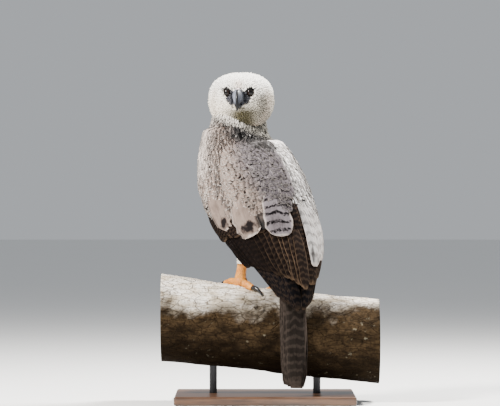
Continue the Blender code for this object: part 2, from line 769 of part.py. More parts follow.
# The fleshy root that the tail feathers grow from: station, half width, half depth
TAIL_ROOT = (
    (0.0, 0.024, 0.0120),
    (0.5, 0.031, 0.0150),
    (1.0, 0.033, 0.0145),
    (1.6, 0.031, 0.0110),
    (2.2, 0.026, 0.0080),
)


def tail_axes(s):
    row = along(TAIL_LINE, s)
    change = along(TAIL_LINE, s + 0.05) - along(TAIL_LINE, s - 0.05)
    down = unit(change[0] * FORWARD + change[1] * LEFT + change[2] * UP)
    _, flat_left, _ = body_axes(row[3])
    dorsal = unit(np.cross(flat_left, down))
    return world(*row[:3]), unit(np.cross(down, dorsal)), dorsal


def tail_vane(k, collection):
    """One tail feather. Even ones lie to the left and odd ones to the right, each pair under the last."""
    side = 1 if k % 2 == 0 else -1
    pair = k // 2
    rows = 5
    end = len(TAIL_LINE) - 1.0 - 0.045 * pair
    outer, inner = np.zeros((rows, 3, 3)), np.zeros((rows, 3, 3))
    for i, v in enumerate(np.linspace(0, 1, rows)):
        centre, left, dorsal = tail_axes(0.9 + (end - 0.9) * v)
        fan = side * TAIL_FAN * (pair + 0.35) / 5 * (0.45 + 0.75 * v)
        depth = (5.5 - k) * TAIL_LAYER * (0.75 + 0.25 * v)
        width = TAIL_HALF_WIDTH * feather_outline(v, 0.42, 0.45)
        for j, c in enumerate((-1.0, 0.0, 1.0)):
            across = fan + c * width
            p = centre + left * across + dorsal * (depth - TAIL_ARCH * across * across)
            outer[i, j] = p + dorsal * VANE_THICK / 2
            inner[i, j] = p - dorsal * VANE_THICK / 2
    return slab("tail_feather", outer, inner, collection)


def make_tail(collection):
    rings = []
    for s, half, depth in TAIL_ROOT:
        centre, left, dorsal = tail_axes(s)
        rings.append([centre + left * half * math.sin(a) + dorsal * depth * math.cos(a)
                      for a in np.arange(16) * math.pi / 8])
    pieces = [loft("tail_root", rings, collection)]
    pieces += [tail_vane(k, collection) for k in range(TAIL_FEATHERS)]
    return unite("tail", pieces, collection)


# Bough and stand

def bough_centre(x):
    return np.array((x, 0.0, BOUGH_HEIGHT + BOUGH_SLOPE * x + BOUGH_BEND * x * x))


def bough_radius(x, angle):
    """The bough's radius with its slow swellings. angle is 0 on top and 90 on the side away from -Y."""
    swell = 0.0020 * math.sin(9.0 * x + 0.6) + 0.0010 * math.sin(23.0 * x + 2.0 * angle)
    uneven = 0.0010 * math.sin(3.0 * angle + 5.0 * x) + 0.0006 * math.sin(5.0 * angle - 14.0 * x)
    return BOUGH_RADIUS + (0.105 if x < 0 else 0.010) * x * x + swell + uneven


def make_bough(collection, grow=0.0, name="perch_bough"):
    rings = []
    for x in np.linspace(BOUGH_LOW_X - grow, BOUGH_HIGH_X + grow, 11):
        centre = bough_centre(x)
        ring = []
        for a in np.arange(26) * math.pi / 13:
            radius = bough_radius(x, a) + grow
            ring.append(centre + radius * np.array((0.0, math.sin(a), math.cos(a))))
        rings.append(ring)
    return loft(name, rings, collection)


def make_stand(collection, bough, steel, wood):
    """A flat base and two short rods that end in sockets in the bough."""
    base = box("stand_base", BASE_LENGTH, BASE_DEPTH, BASE_THICK, collection)
    bevel = base.modifiers.new("edge", "BEVEL")
    bevel.width = BASE_ROUND
    bevel.segments = 3
    bake_modifiers(base)
    finish(base, wood)
    for name, x in (("stand_rod_left", -ROD_SPACING / 2), ("stand_rod_right", ROD_SPACING / 2)):
        underside = bough_centre(x)[2] - bough_radius(x, math.pi)
        low, high = BASE_THICK + TOUCH_GAP, underside + ROD_SOCKET
        rod = cylinder(name, x, low, high, ROD_RADIUS, collection)
        socket = cylinder("rod_socket", x, low, high + TOUCH_GAP, ROD_RADIUS + TOUCH_GAP, collection)
        cut(bough, socket, remove_cutter=True)
        finish(rod, steel)


# Legs

def on_bough(x, y, lift):
    """The point lift above the bough's surface over or beside (x, y), and the surface's normal there."""
    centre = bough_centre(x)
    angle = math.asin(max(-1.0, min(1.0, y / BOUGH_RADIUS)))
    radius = bough_radius(x, angle)
    normal = np.array((0.0, math.sin(angle), math.cos(angle)))
    return centre + normal * (radius + lift), normal


def bough_walk(x, angle, lift):
    centre = bough_centre(x)
    return centre + (bough_radius(x, angle) + lift) * np.array((0.0, math.sin(angle), math.cos(angle)))


# Toes: yaw from the foot's own heading towards the bird's outer side, length, claw length
TOES = (("inner", -30.0, 0.060, 0.046), ("middle", 0.0, 0.082, 0.040), ("outer", 26.0, 0.066, 0.034),
        ("hind", 210.0, 0.050, 0.058))
FOOT_TURNS = {1: -18.0, -1: -6.0}


def toe_path(base, yaw, length, count):
    """A toe's middle line over the bough from the foot's middle: pairs of x and angle round the bough."""
    a = math.radians(BODY_YAW + yaw)
    path = []
    for reach in np.linspace(0, length, count):
        path.append((base[0] - math.sin(a) * reach, (base[1] + math.cos(a) * reach) / BOUGH_RADIUS))
    return path


def claw_path(tip, before, length):
    """The middle line of a claw that leaves the toe's end, rises a little and hooks down."""
    heading = unit(tip - before)
    out = unit(tip - bough_centre(tip[0]))
    bends = [tip + heading * length * ahead + out * length * lift for ahead, lift in CLAW_BENDS]
    return curved(bends, len(CLAW_RADII))


def make_foot(side, name, foot_fl, collection, bough_cutter):
    """Palm and four toes that grip the bough, with a socket at each toe's end for its claw; and its claws."""
    base = world(foot_fl[0], foot_fl[1], 0.0)
    centre, normal = on_bough(base[0], base[1], PALM_LIFT)
    pieces, claws, cutters = [sphere("palm", centre, PALM_RADIUS, collection, 12, 7)], [], []
    radii = [TOE_RADIUS * share for share in TOE_PROFILE]
    for toe, yaw, length, claw_length in TOES:
        path = toe_path(base, FOOT_TURNS[side] + side * yaw, length, len(radii))
        line = [bough_walk(x, a, r - TOE_SINK) for (x, a), r in zip(path, radii)]
        pieces.append(tube("toe", line, radii, 8, collection))
        claw_line = claw_path(line[-1], line[-2], claw_length)
        claws.append(tube("claw", claw_line, CLAW_RADII, 7, collection))
        grown = [r + TOUCH_GAP for r in CLAW_RADII]
        cutters.append(tube("claw_cutter", claw_line, grown, 7, collection))
    foot = unite(name, pieces, collection)
    cut(foot, bough_cutter)
    for cutter in cutters:
        cut(foot, cutter, remove_cutter=True)
    for claw in claws:
        cut(claw, bough_cutter)
    return foot, claws


def make_tarsus(name, foot_fl, ankle, collection):
    """The scaled shank from the foot's top up into the feathered leg."""
    base = world(foot_fl[0], foot_fl[1], 0.0)
    low, _ = on_bough(base[0], base[1], 2 * TOE_RADIUS)
    high = world(*ankle)
    path = [low + (high - low) * t for t in np.linspace(0, 1, len(TARSUS_PROFILE))]
    return tube(name, path, [TARSUS_RADIUS * share for share in TARSUS_PROFILE], 12, collection)


# Down each feathered leg, mirrored for the right one: f, l, u, radius
THIGH = np.array([
    (0.150, 0.075, 0.570, 0.049),
    (0.171, 0.073, 0.505, 0.050),
    (0.160, 0.063, 0.460, 0.040),
    (0.147, 0.061, 0.430, 0.027),
    (0.144, 0.062, 0.408, 0.0205),
])
RIGHT_LEG_BACK = -0.018


def make_thigh(side, name, collection):
    """The feathered trousers, from the flank down to just below the ankle."""
    rows = [along(THIGH, s) for s in np.linspace(0, len(THIGH) - 1, 9)]
    back = RIGHT_LEG_BACK if side < 0 else 0.0
    path = [world(f + back, side * l, u) for f, l, u, _ in rows]
    return tube(name, path, [row[3] for row in rows], 18, collection)


def build():
    clear_scene()
    part = new_collection("harpy_eagle")
    pale = material("pale_plumage", (0.74, 0.70, 0.64), 0.85)
    grey = material("mottled_plumage", (0.52, 0.48, 0.44), 0.85)
    dark = material("tail_plumage", (0.12, 0.10, 0.09), 0.75)
    skin = material("leg_skin", (0.80, 0.52, 0.16), 0.55)
    horn = material("horn", (0.05, 0.05, 0.06), 0.35)
    cere_look = material("cere_skin", (0.13, 0.14, 0.16), 0.45)
    eye_look = material("eye", (0.05, 0.03, 0.02), 0.08)
    bark = material("bark", (0.36, 0.30, 0.23), 0.9)
    steel = material("stand_steel", (0.10, 0.10, 0.11), 0.4, 0.9)
    wood = material("stand_wood", (0.16, 0.11, 0.08), 0.45)

    torso = finish(make_trunk(part), pale)
    neck = make_neck(part)
    finish(make_head(part, neck), pale)
    finish(neck, pale)
    for obj, look in zip(make_bill(part), (cere_look, horn, horn)):
        finish(obj, look)
    for side, name in ((-1, "eye_right"), (1, "eye_left")):
        finish(sphere(name, eye_centre(side), EYE_RADIUS, part, 16, 9), eye_look)

    trunk_cutter = make_trunk(part, TOUCH_GAP, "trunk_cutter")
    neck_cutter = make_neck(part, TOUCH_GAP, "neck_cutter")
    tail = finish(make_tail(part), dark)
    cut(tail, trunk_cutter)
    for side, name, tiers in ((1, "wing_left", LEFT_TIERS), (-1, "wing_right", RIGHT_TIERS)):
        wing = make_wing(side, name, tiers, part)
        cut(wing, trunk_cutter)
        cut(wing, neck_cutter)
        finish(wing, grey)
    mantle = make_shield(part)
    cut(mantle, trunk_cutter)
    cut(mantle, neck_cutter)
    finish(mantle, grey)

    bough = make_bough(part)
    bough_cutter = make_bough(part, TOUCH_GAP, "bough_cutter")
    legs = ((1, "left", FOOT_LEFT, ANKLE_LEFT), (-1, "right", FOOT_RIGHT, ANKLE_RIGHT))
    for side, word, foot_fl, ankle in legs:
        foot, claws = make_foot(side, "foot_" + word, foot_fl, part, bough_cutter)
        tarsus = make_tarsus("tarsus_" + word, foot_fl, ankle, part)
        thigh = make_thigh(side, "thigh_" + word, part)
        cut(thigh, trunk_cutter)
        cut(tarsus, trunk_cutter)
        cut_clear(foot, tarsus)
        cut_clear(thigh, tarsus)
        finish(foot, skin)
        finish(tarsus, skin)
        finish(thigh, pale)
        for claw, toe in zip(claws, TOES):
            claw.name = f"claw_{toe[0]}_{word}"
            finish(claw, horn)
    for cutter in (trunk_cutter, neck_cutter, bough_cutter):
        bpy.data.objects.remove(cutter, do_unlink=True)
    make_stand(part, bough, steel, wood)
    finish(bough, bark)


def cut_clear(obj, neighbour):
    """Cuts obj by its neighbour's shape grown by the touching gap."""
    grown = neighbour.copy()
    grown.data = neighbour.data.copy()
    bpy.context.scene.collection.objects.link(grown)
    normals = [v.normal.copy() for v in grown.data.vertices]
    for vertex, normal in zip(grown.data.vertices, normals):
        vertex.co += normal * TOUCH_GAP
    cut(obj, grown, remove_cutter=True)


build()
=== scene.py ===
"""Looks for the harpy eagle: one skin under modelled feathers, bare parts, bough, stand and studio.

The bird is laid out in its own body axes as in the solids: f forward, l to its left, u up. A station and
an angle place a point on the trunk, or on the bed that the folded wings lie on: 0 is the middle of the back
and 90 the left side. Sides are 1 on the bird's left and -1 on its right.
"""

import math

import bmesh
import bpy
import numpy as np
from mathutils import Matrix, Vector

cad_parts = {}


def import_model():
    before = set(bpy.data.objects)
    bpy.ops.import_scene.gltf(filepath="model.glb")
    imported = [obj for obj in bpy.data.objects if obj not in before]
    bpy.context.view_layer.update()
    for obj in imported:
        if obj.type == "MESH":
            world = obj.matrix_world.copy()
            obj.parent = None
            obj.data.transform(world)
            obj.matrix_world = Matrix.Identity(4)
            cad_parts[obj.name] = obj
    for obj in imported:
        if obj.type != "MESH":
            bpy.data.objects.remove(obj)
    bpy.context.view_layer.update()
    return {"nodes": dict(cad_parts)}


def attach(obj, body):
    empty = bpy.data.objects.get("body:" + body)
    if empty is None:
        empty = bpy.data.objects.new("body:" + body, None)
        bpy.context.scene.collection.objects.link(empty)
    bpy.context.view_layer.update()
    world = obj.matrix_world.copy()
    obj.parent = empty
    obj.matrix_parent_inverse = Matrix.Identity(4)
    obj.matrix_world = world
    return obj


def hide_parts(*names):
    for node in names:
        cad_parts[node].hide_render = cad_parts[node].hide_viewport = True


# How far apart, in stations, two rows are compared for the slope between them
SLOPE_STEP = 0.1

# Shapes that the solids have too, in metres and degrees
BODY_YAW = 33.0
BODY_ORIGIN = (0.070, -0.120)
HEAD_CENTRE = (-0.0696, 0.036, 0.880)
HEAD_YAW = 7.0
HEAD_PITCH = 8.0
HEAD_HALF_WIDTH = 0.0945
HEAD_RISE = 0.074
HEAD_DROP = 0.090
HEAD_FRONT = 0.066
HEAD_BACK = 0.092
HEAD_ROUNDNESS = 2.35
EYE_RADIUS = 0.0118
EYE_SIDE = 0.0330
EYE_FORWARD = 0.0540
EYE_UP = 0.0235
EYE_SPLAY = 24.0
# Sockets, brows and cheeks: height, place and size
FACE_FORMS = (
    (-0.0060, (EYE_FORWARD, EYE_SIDE, EYE_UP), 0.016),
    (0.0035, (EYE_FORWARD, EYE_SIDE, EYE_UP + 0.020), 0.014),
    (0.0035, (0.040, 0.062, -0.018), 0.026),
)
BOUGH_LOW_X = -0.300
BOUGH_HIGH_X = 0.330
BOUGH_RADIUS = 0.1195
BOUGH_HEIGHT = 0.2080
BOUGH_SLOPE = -0.115
BOUGH_BEND = 0.030
RIGHT_FLARE = 0.014
SHIELD_EDGE = 36.0

# Rows from the top down: f, l, u of the centre, half width, and depth towards the back and towards the front
TRUNK = np.array([
    (0.2150, 0.027, 0.885, 0.070, 0.052, 0.066),
    (0.2200, 0.028, 0.815, 0.086, 0.056, 0.077),
    (0.2220, 0.028, 0.765, 0.095, 0.079, 0.089),
    (0.2150, 0.022, 0.715, 0.116, 0.097, 0.106),
    (0.1900, 0.014, 0.655, 0.140, 0.107, 0.116),
    (0.1550, 0.008, 0.585, 0.149, 0.109, 0.119),
    (0.1150, 0.003, 0.515, 0.139, 0.099, 0.108),
    (0.0750, 0.000, 0.457, 0.110, 0.076, 0.074),
    (0.0420, 0.000, 0.420, 0.070, 0.049, 0.044),
    (0.0230, 0.000, 0.399, 0.030, 0.024, 0.022),
])
# The same for the bed of the wings, with one depth
WING_BED = np.array([
    (0.2210, 0.028, 0.800, 0.086, 0.080),
    (0.2220, 0.026, 0.755, 0.098, 0.088),
    (0.2150, 0.022, 0.715, 0.121, 0.100),
    (0.1900, 0.014, 0.655, 0.145, 0.110),
    (0.1550, 0.008, 0.585, 0.154, 0.112),
    (0.1150, 0.003, 0.515, 0.146, 0.103),
    (0.0750, 0.000, 0.455, 0.130, 0.086),
    (0.0380, 0.000, 0.400, 0.110, 0.068),
    (0.0100, 0.000, 0.345, 0.085, 0.054),
    (-0.0080, 0.000, 0.290, 0.064, 0.043),
    (-0.0160, 0.000, 0.235, 0.050, 0.036),
])
# Along the tail: f, l, u and yaw
TAIL_LINE = np.array([
    (0.0200, 0.000, 0.440, 33.0),
    (0.0040, 0.000, 0.400, 33.0),
    (-0.0120, 0.000, 0.345, 30.0),
    (-0.0230, 0.001, 0.290, 27.0),
    (-0.0345, 0.004, 0.205, 23.0),
    (-0.0420, 0.008, 0.125, 20.0),
    (-0.0480, 0.012, 0.045, 18.0),
])
# Down the left thigh: f, l, u and radius
THIGH = np.array([
    (0.150, 0.075, 0.570, 0.049),
    (0.171, 0.073, 0.505, 0.050),
    (0.160, 0.063, 0.460, 0.040),
    (0.147, 0.061, 0.430, 0.027),
    (0.144, 0.062, 0.408, 0.0205),
])
RIGHT_LEG_BACK = -0.018
# Angles by station of the left wing's outer edge, of the right wing's, and of the gap beside the back
OUTER_EDGE = np.array([100.0, 114.0, 121.0, 122.0, 116.0, 102.0, 90.0, 86.0, 76.0, 68.0, 60.0])
RIGHT_EDGE = np.array([60.0, 68.0, 104.0, 116.0, 114.0, 102.0, 90.0, 86.0, 76.0, 68.0, 60.0])
GAP_ANGLE = np.array([8.0, 10.0, 11.0, 12.5, 15.5, 20.0, 27.0, 34.0, 40.0, 40.0, 40.0])

# The arm and hand under the feathers, by side: 1 is the left and -1 the right
CORE_STARTS = {1: 0.0, -1: 1.25}
CORE_END = 6.2
CORE_BASES = {1: 0.0040, -1: 0.0015}
CORE_RAMPS = {1: (0.12, 0.45), -1: (0.20, 1.00)}
EDGE_BULK = 0.0065
LEFT_BULK = 0.0240
SHOULDER_BULK = 0.0150
RIGHT_BULK = 0.0120

# Height of the back's coat over the bed, down its middle
BACK_STATIONS = (0.8, 1.5, 2.2, 2.9, 3.8, 5.0, 6.2)
BACK_HEIGHTS = (0.001, 0.008, 0.016, 0.020, 0.021, 0.018, 0.013)

# The collar's middle line across the bird, in world x and z
COLLAR_X = (-0.154, -0.093, -0.058, -0.023, 0.020)
COLLAR_Z = (0.812, 0.777, 0.765, 0.749, 0.741)

PHOTO_WIDTH = 500
METRES_PER_PIXEL = 0.0029
FRAME_CENTRE = (-0.0435, 0.5757)
CAMERA_DISTANCE = 9.0

SIDES = ((1, "left"), (-1, "right"))
RANDOM = np.random.default_rng(7)


def together(*values):
    """Numbers or arrays, spread to one shape."""
    return np.broadcast_arrays(*(np.asarray(value, float) for value in values))


def stacked(*values):
    """Numbers or arrays side by side, in a new last axis."""
    return np.stack(together(*values), -1)


def full_turn(count):
    """Angles all the way round, in radians."""
    return np.arange(count) * 2 * math.pi / count


def body_axes(yaw):
    """The world directions of f and l for one yaw or an array of them, in degrees."""
    a = np.radians(yaw)
    return stacked(-np.sin(a), np.cos(a), 0.0), stacked(-np.cos(a), -np.sin(a), 0.0)


FORWARD, LEFT = body_axes(BODY_YAW)
UP = np.array((0.0, 0.0, 1.0))


def turned_to_world(v):
    """Directions in body axes, as world directions."""
    return v[..., :1] * FORWARD + v[..., 1:2] * LEFT + v[..., 2:3] * UP


def world(f, l, u):
    """A point in body axes, as world coordinates."""
    return np.array((*BODY_ORIGIN, 0.0)) + turned_to_world(stacked(f, l, u))


def unit(v):
    return v / np.maximum(np.linalg.norm(v, axis=-1, keepdims=True), 1e-12)


def smooth(x, low, high):
    """0 at low, 1 at high, and an S between."""
    t = np.clip((np.asarray(x, float) - low) / (high - low), 0, 1)
    return t * t * (3 - 2 * t)


def bell(x, width):
    """1 at 0, falling to either side over about the width."""
    return np.exp(-(x / width) ** 2)


def dot(a, b):
    return np.sum(a * b, axis=-1)


def wrapped(angle, whole=360.0):
    """The same angle within half a turn of 0."""
    return (angle + whole / 2) % whole - whole / 2


def normal_random(*shape):
    return RANDOM.standard_normal(shape)


def uneven(amount, *shape):
    """Factors that vary about 1."""
    return 1 + amount * normal_random(*shape)


def along(stations, s):
    """Catmull-Rom interpolation of rows of numbers at fractional rows."""
    stations = np.asarray(stations, float)
    padded = np.concatenate([2 * stations[:1] - stations[1:2], stations, 2 * stations[-1:] - stations[-2:-1]])
    s = np.clip(np.asarray(s, float), 0, len(stations) - 1)
    i = np.minimum(s.astype(int), len(stations) - 2)
    t = (s - i)[..., None]
    p0, p1, p2, p3 = padded[i], padded[i + 1], padded[i + 2], padded[i + 3]
    return 0.5 * (2 * p1 + (p2 - p0) * t + (2 * p0 - 5 * p1 + 4 * p2 - p3) * t ** 2
                  + (3 * p1 - p0 - 3 * p2 + p3) * t ** 3)


def change_at(stations, s):
    """How the rows change over SLOPE_STEP stations."""
    return along(stations, s + SLOPE_STEP / 2) - along(stations, s - SLOPE_STEP / 2)


def section_axes(stations, s, left=LEFT):
    """Row, centre, left and dorsal directions of a section of the trunk, the wing bed or the tail."""
    row = along(stations, s)
    down = unit(turned_to_world(change_at(stations, s)))
    dorsal = unit(np.cross(np.broadcast_to(left, down.shape), down))
    return row, world(row[..., 0], row[..., 1], row[..., 2]), unit(np.cross(down, dorsal)), dorsal


def on_section(stations, s, theta, height=0.0):
    """Points over a loft and its outward normals there."""
    s, theta, height = together(s, theta, height)
    row, centre, left, dorsal = section_axes(stations, s)
    a = np.radians(theta)
    across, out = np.sin(a)[..., None], np.cos(a)[..., None]
    depth = np.where(out >= 0, row[..., 4:5], row[..., -1:])
    half = row[..., 3:4]
    normal = unit(left * across / half + dorsal * out / depth)
    return centre + left * half * across + dorsal * depth * out + normal * height[..., None], normal


def on_bed(side, s, theta, height=0.0):
    """A point over the wing bed, whose right side stands off more."""
    s, theta, height = together(s, theta, height)
    if side < 0:
        outward = np.clip((theta - 15.0) / 40.0, 0, 1) * (height > 0.0015)
        height = height + RIGHT_FLARE * outward * bell(s - 6.0, 1.7)
    return on_section(WING_BED, s, side * theta, height)


def spread_over(share, profile):
    """Values at shares 0 to 1 of a list's length."""
    return np.interp(share, np.linspace(0, 1, len(profile)), profile)


def at_station(values, s):
    return np.interp(s, np.arange(len(values)), values)


def core_edges(side, s):
    """The angles between which the arm and hand lie under the wing's feathers."""
    if side < 0:
        return at_station(GAP_ANGLE, s) + 4.0, at_station(RIGHT_EDGE, s)
    open_back = np.clip((s - 4.2) / 0.8, 0, 1)
    return SHIELD_EDGE - (SHIELD_EDGE + 6.0) * open_back, at_station(OUTER_EDGE, s)


def core_height(side, s, theta):
    """How high the arm and hand stand over the bed."""
    start, end = core_edges(side, s)
    first = CORE_STARTS[side]
    share = np.clip((s - first) / (CORE_END - first), 0, 1)
    c = np.clip((theta - start) / (end - start), 0, 1)
    head_start, ramp = CORE_RAMPS[side]
    round_top = np.sin(np.clip((s - first + head_start) / ramp, 0, 1) * math.pi / 2)
    round_sides = np.sin(math.pi * np.minimum(0.5, 0.10 + 0.7 * np.minimum(c, 1 - c)))
    bulk = LEFT_BULK + SHOULDER_BULK * np.maximum(0.0, 1 - s / 2) if side > 0 else RIGHT_BULK
    thick = EDGE_BULK + bulk * np.clip((theta - 40.0) / 40.0, 0, 1)
    return CORE_BASES[side] + thick * round_top * round_sides * (1 - 0.70 * share ** 2)


def coat_height(side, s, theta):
    """How high the small feathers of wing and back lie over the bed."""
    core = core_height(side, s, theta)
    if side < 0:
        return core
    edge = smooth(theta, -at_station(GAP_ANGLE, s) - 9.0, -at_station(GAP_ANGLE, s) + 9.0)
    back = np.interp(s, BACK_STATIONS, BACK_HEIGHTS) + 0.0035 * smooth(theta, 0, 45)
    back = 0.002 + (back - 0.002) * edge * (1 - smooth(theta, 52, 80))
    bare_top = smooth(theta, 30, 42) * smooth(s, -0.15, 0.15)
    return np.maximum(back, core * np.where(s > 1.2, 1.0, bare_top))


# Head axes and surface

def head_axes():
    yaw, pitch = math.radians(HEAD_YAW), math.radians(HEAD_PITCH)
    level = np.array((-math.sin(yaw), -math.cos(yaw), 0.0))
    left = np.array((math.cos(yaw), -math.sin(yaw), 0.0))
    forward = level * math.cos(pitch) - UP * math.sin(pitch)
    return np.array((forward, left, np.cross(forward, left)))


HEAD_AXES = head_axes()


def in_head(p):
    """Points in the head's own axes (forward, left, up), as world coordinates."""
    return np.array(HEAD_CENTRE) + np.asarray(p, float) @ HEAD_AXES


def to_head(p):
    return (p - np.array(HEAD_CENTRE)) @ HEAD_AXES.T


def near(p, centre, size):
    return bell(np.linalg.norm(p - np.array(centre), axis=-1), size)


def head_radius(d):
    """How far the head's surface lies from its centre towards unit directions d in head axes."""
    f, l, u = d[..., 0], d[..., 1], d[..., 2]
    fore = np.where(f > 0, HEAD_FRONT, HEAD_BACK)
    rise = np.where(u > 0, HEAD_RISE, HEAD_DROP)
    n = HEAD_ROUNDNESS
    radius = (np.abs(f / fore) ** n + np.abs(l / HEAD_HALF_WIDTH) ** n + np.abs(u / rise) ** n) ** (-1 / n)
    p = d * radius[..., None]
    for side in (-1, 1):
        for depth, (forward, out, up), size in FACE_FORMS:
            radius = radius + depth * near(p, (forward, side * out, up), size)
    return radius


def on_head(d, height=0.0):
    """World points over the head and outward normals, for directions in head axes."""
    d = unit(d)
    helper = np.where(np.abs(d[..., 2:3]) < 0.9, (0.0, 0.0, 1.0), (1.0, 0.0, 0.0))
    one = unit(np.cross(d, helper))
    here = d * head_radius(d)[..., None]
    shifts = []
    for way in (one, np.cross(d, one)):
        moved = unit(d + way * 0.02)
        shifts.append(moved * head_radius(moved)[..., None] - here)
    normal = unit(np.cross(*shifts))
    normal = normal * np.sign(dot(normal, d))[..., None]
    return in_head(here + normal * np.asarray(height)[..., None]), normal @ HEAD_AXES


def inside_head(p, margin=0.0):
    q = to_head(p)
    return np.linalg.norm(q, axis=-1) < head_radius(unit(q)) - margin


def trunk_place(p):
    """Station, angle and share of the trunk's radius at world points, by the section at their height."""
    s = np.interp(-p[..., 2], -TRUNK[:, 2], np.arange(len(TRUNK)))
    row, centre, left, dorsal = section_axes(TRUNK, s)
    across = dot(p - centre, left) / row[..., 3]
    back = dot(p - centre, dorsal)
    back = back / np.where(back > 0, row[..., 4], row[..., 5])
    return s, np.degrees(np.arctan2(across, back)), np.hypot(across, back)


# Meshes

def placed(name, data):
    """A new object in the scene."""
    obj = bpy.data.objects.new(name, data)
    bpy.context.scene.collection.objects.link(obj)
    return obj


def mesh_object(name, points, faces):
    mesh = bpy.data.meshes.new(name)
    mesh.from_pydata(np.asarray(points, float).tolist(), [], [list(map(int, face)) for face in faces])
    shape = bmesh.new()
    shape.from_mesh(mesh)
    bmesh.ops.recalc_face_normals(shape, faces=shape.faces)
    shape.to_mesh(mesh)
    shape.free()
    mesh.shade_smooth()
    return placed(name, mesh)


def ring_faces(rows, columns, closed):
    """Quads between rows of points that each close on themselves. closed joins the last row to the first."""
    faces = []
    for i in range(rows if closed else rows - 1):
        for j in range(columns):
            k, m = (i + 1) % rows, (j + 1) % columns
            faces.append((i * columns + j, i * columns + m, k * columns + m, k * columns + j))
    return faces


def loft(name, rings):
    """A closed solid through rings of equal size, capped by fans."""
    rings = np.asarray(rings, float)
    rows, count = rings.shape[:2]
    points = list(rings.reshape(-1, 3)) + [rings[0].mean(axis=0), rings[-1].mean(axis=0)]
    faces = ring_faces(rows, count, False)
    for ring, centre in ((0, rows * count), (rows - 1, rows * count + 1)):
        first = ring * count
        faces += [(first + j, first + (j + 1) % count, centre) for j in range(count)]
    return mesh_object(name, points, faces)


def tube_rings(path, radii, sides):
    """Round rings square to a path. radii has one number, or one for each side, for each ring."""
    path = np.asarray(path, float)
    heading = unit(np.gradient(path, axis=0))
    reference = np.where(np.abs(heading[:, 2:3]) < 0.9, UP, FORWARD)
    side = unit(np.cross(heading, reference))
    rise = np.cross(side, heading)
    turn = full_turn(sides)
    radii = np.broadcast_to(np.asarray(radii, float).reshape(len(path), -1), (len(path), sides))
    around = np.cos(turn)[None, :, None] * side[:, None] + np.sin(turn)[None, :, None] * rise[:, None]
    return path[:, None] + radii[..., None] * around


def sphere(name, centre, radius, segments=40, rings=24):
    polar = np.linspace(0.02, math.pi - 0.02, rings)[:, None]
    turn = full_turn(segments)
    d = stacked(np.sin(polar) * np.cos(turn), np.sin(polar) * np.sin(turn), np.cos(polar))
    return loft(name, np.asarray(centre) + radius * d)


def bake(obj):
    """Applies the modifiers."""
    bpy.context.view_layer.update()
    mesh = bpy.data.meshes.new_from_object(obj.evaluated_get(bpy.context.evaluated_depsgraph_get()))
    obj.modifiers.clear()
    obj.data = mesh
    mesh.shade_smooth()


def merged(name, forms, voxel, rounds):
    """One closed surface from overlapping forms, by a voxel remesh and a little smoothing."""
    with bpy.context.temp_override(active_object=forms[0], object=forms[0], selected_objects=forms,
                                   selected_editable_objects=forms):
        bpy.ops.object.join()
    forms[0].name = name
    remesh = forms[0].modifiers.new("remesh", "REMESH")
    remesh.mode = "VOXEL"
    remesh.voxel_size = voxel
    smoothing = forms[0].modifiers.new("smooth", "SMOOTH")
    smoothing.iterations = rounds
    bake(forms[0])
    return forms[0]


def store(mesh, label, values):
    """Keeps three numbers for each point, which the materials read."""
    layer = mesh.attributes.new(label, "FLOAT_VECTOR", "POINT")
    layer.data.foreach_set("vector", values.astype(np.float32).ravel())


def dress(obj, look, *nodes):
    """Gives a piece its material, parents it to the root and hides the solids that it stands for."""
    obj.data.materials.clear()
    obj.data.materials.append(look)
    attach(obj, "root")
    if nodes:
        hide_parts(*nodes)


# Feathers

# A feather's patch of the texture, as a share of its width
PATCH = 0.003
# Grids of points on a feather: places from edge to edge, and from root to tip
SMALL = (np.array((-1.0, 0.0, 1.0)), np.array((0.0, 0.36, 0.72, 1.0)))
MEDIUM = (np.array((-1.0, -0.5, 0.0, 0.5, 1.0)), np.array((0.0, 0.28, 0.52, 0.72, 0.87, 0.96, 1.0)))
BIG = (np.array((-1.0, -0.62, -0.28, -0.07, 0.0, 0.07, 0.28, 0.62, 1.0)),
       np.array((0.0, 0.12, 0.26, 0.40, 0.54, 0.66, 0.76, 0.85, 0.92, 0.97, 1.0)))
# Width at the root, where it is fullest and width at the tip, as shares of the whole
SHAPES = {"small": (0.55, 0.45, 0.50), "round": (0.50, 0.50, 0.30), "long": (0.40, 0.45, 0.28),
          "lobe": (0.60, 0.50, 0.05)}


def patch_place(across, down):
    """Where a feather's patch of the texture lies, from its root's place on the body, 0 to 1 each way."""
    return 0.02 + 0.96 * stacked(across, down)


def cells(grid):
    return np.stack([grid[:-1, :-1], grid[:-1, 1:], grid[1:, 1:], grid[1:, :-1]], -1).reshape(-1, 4)


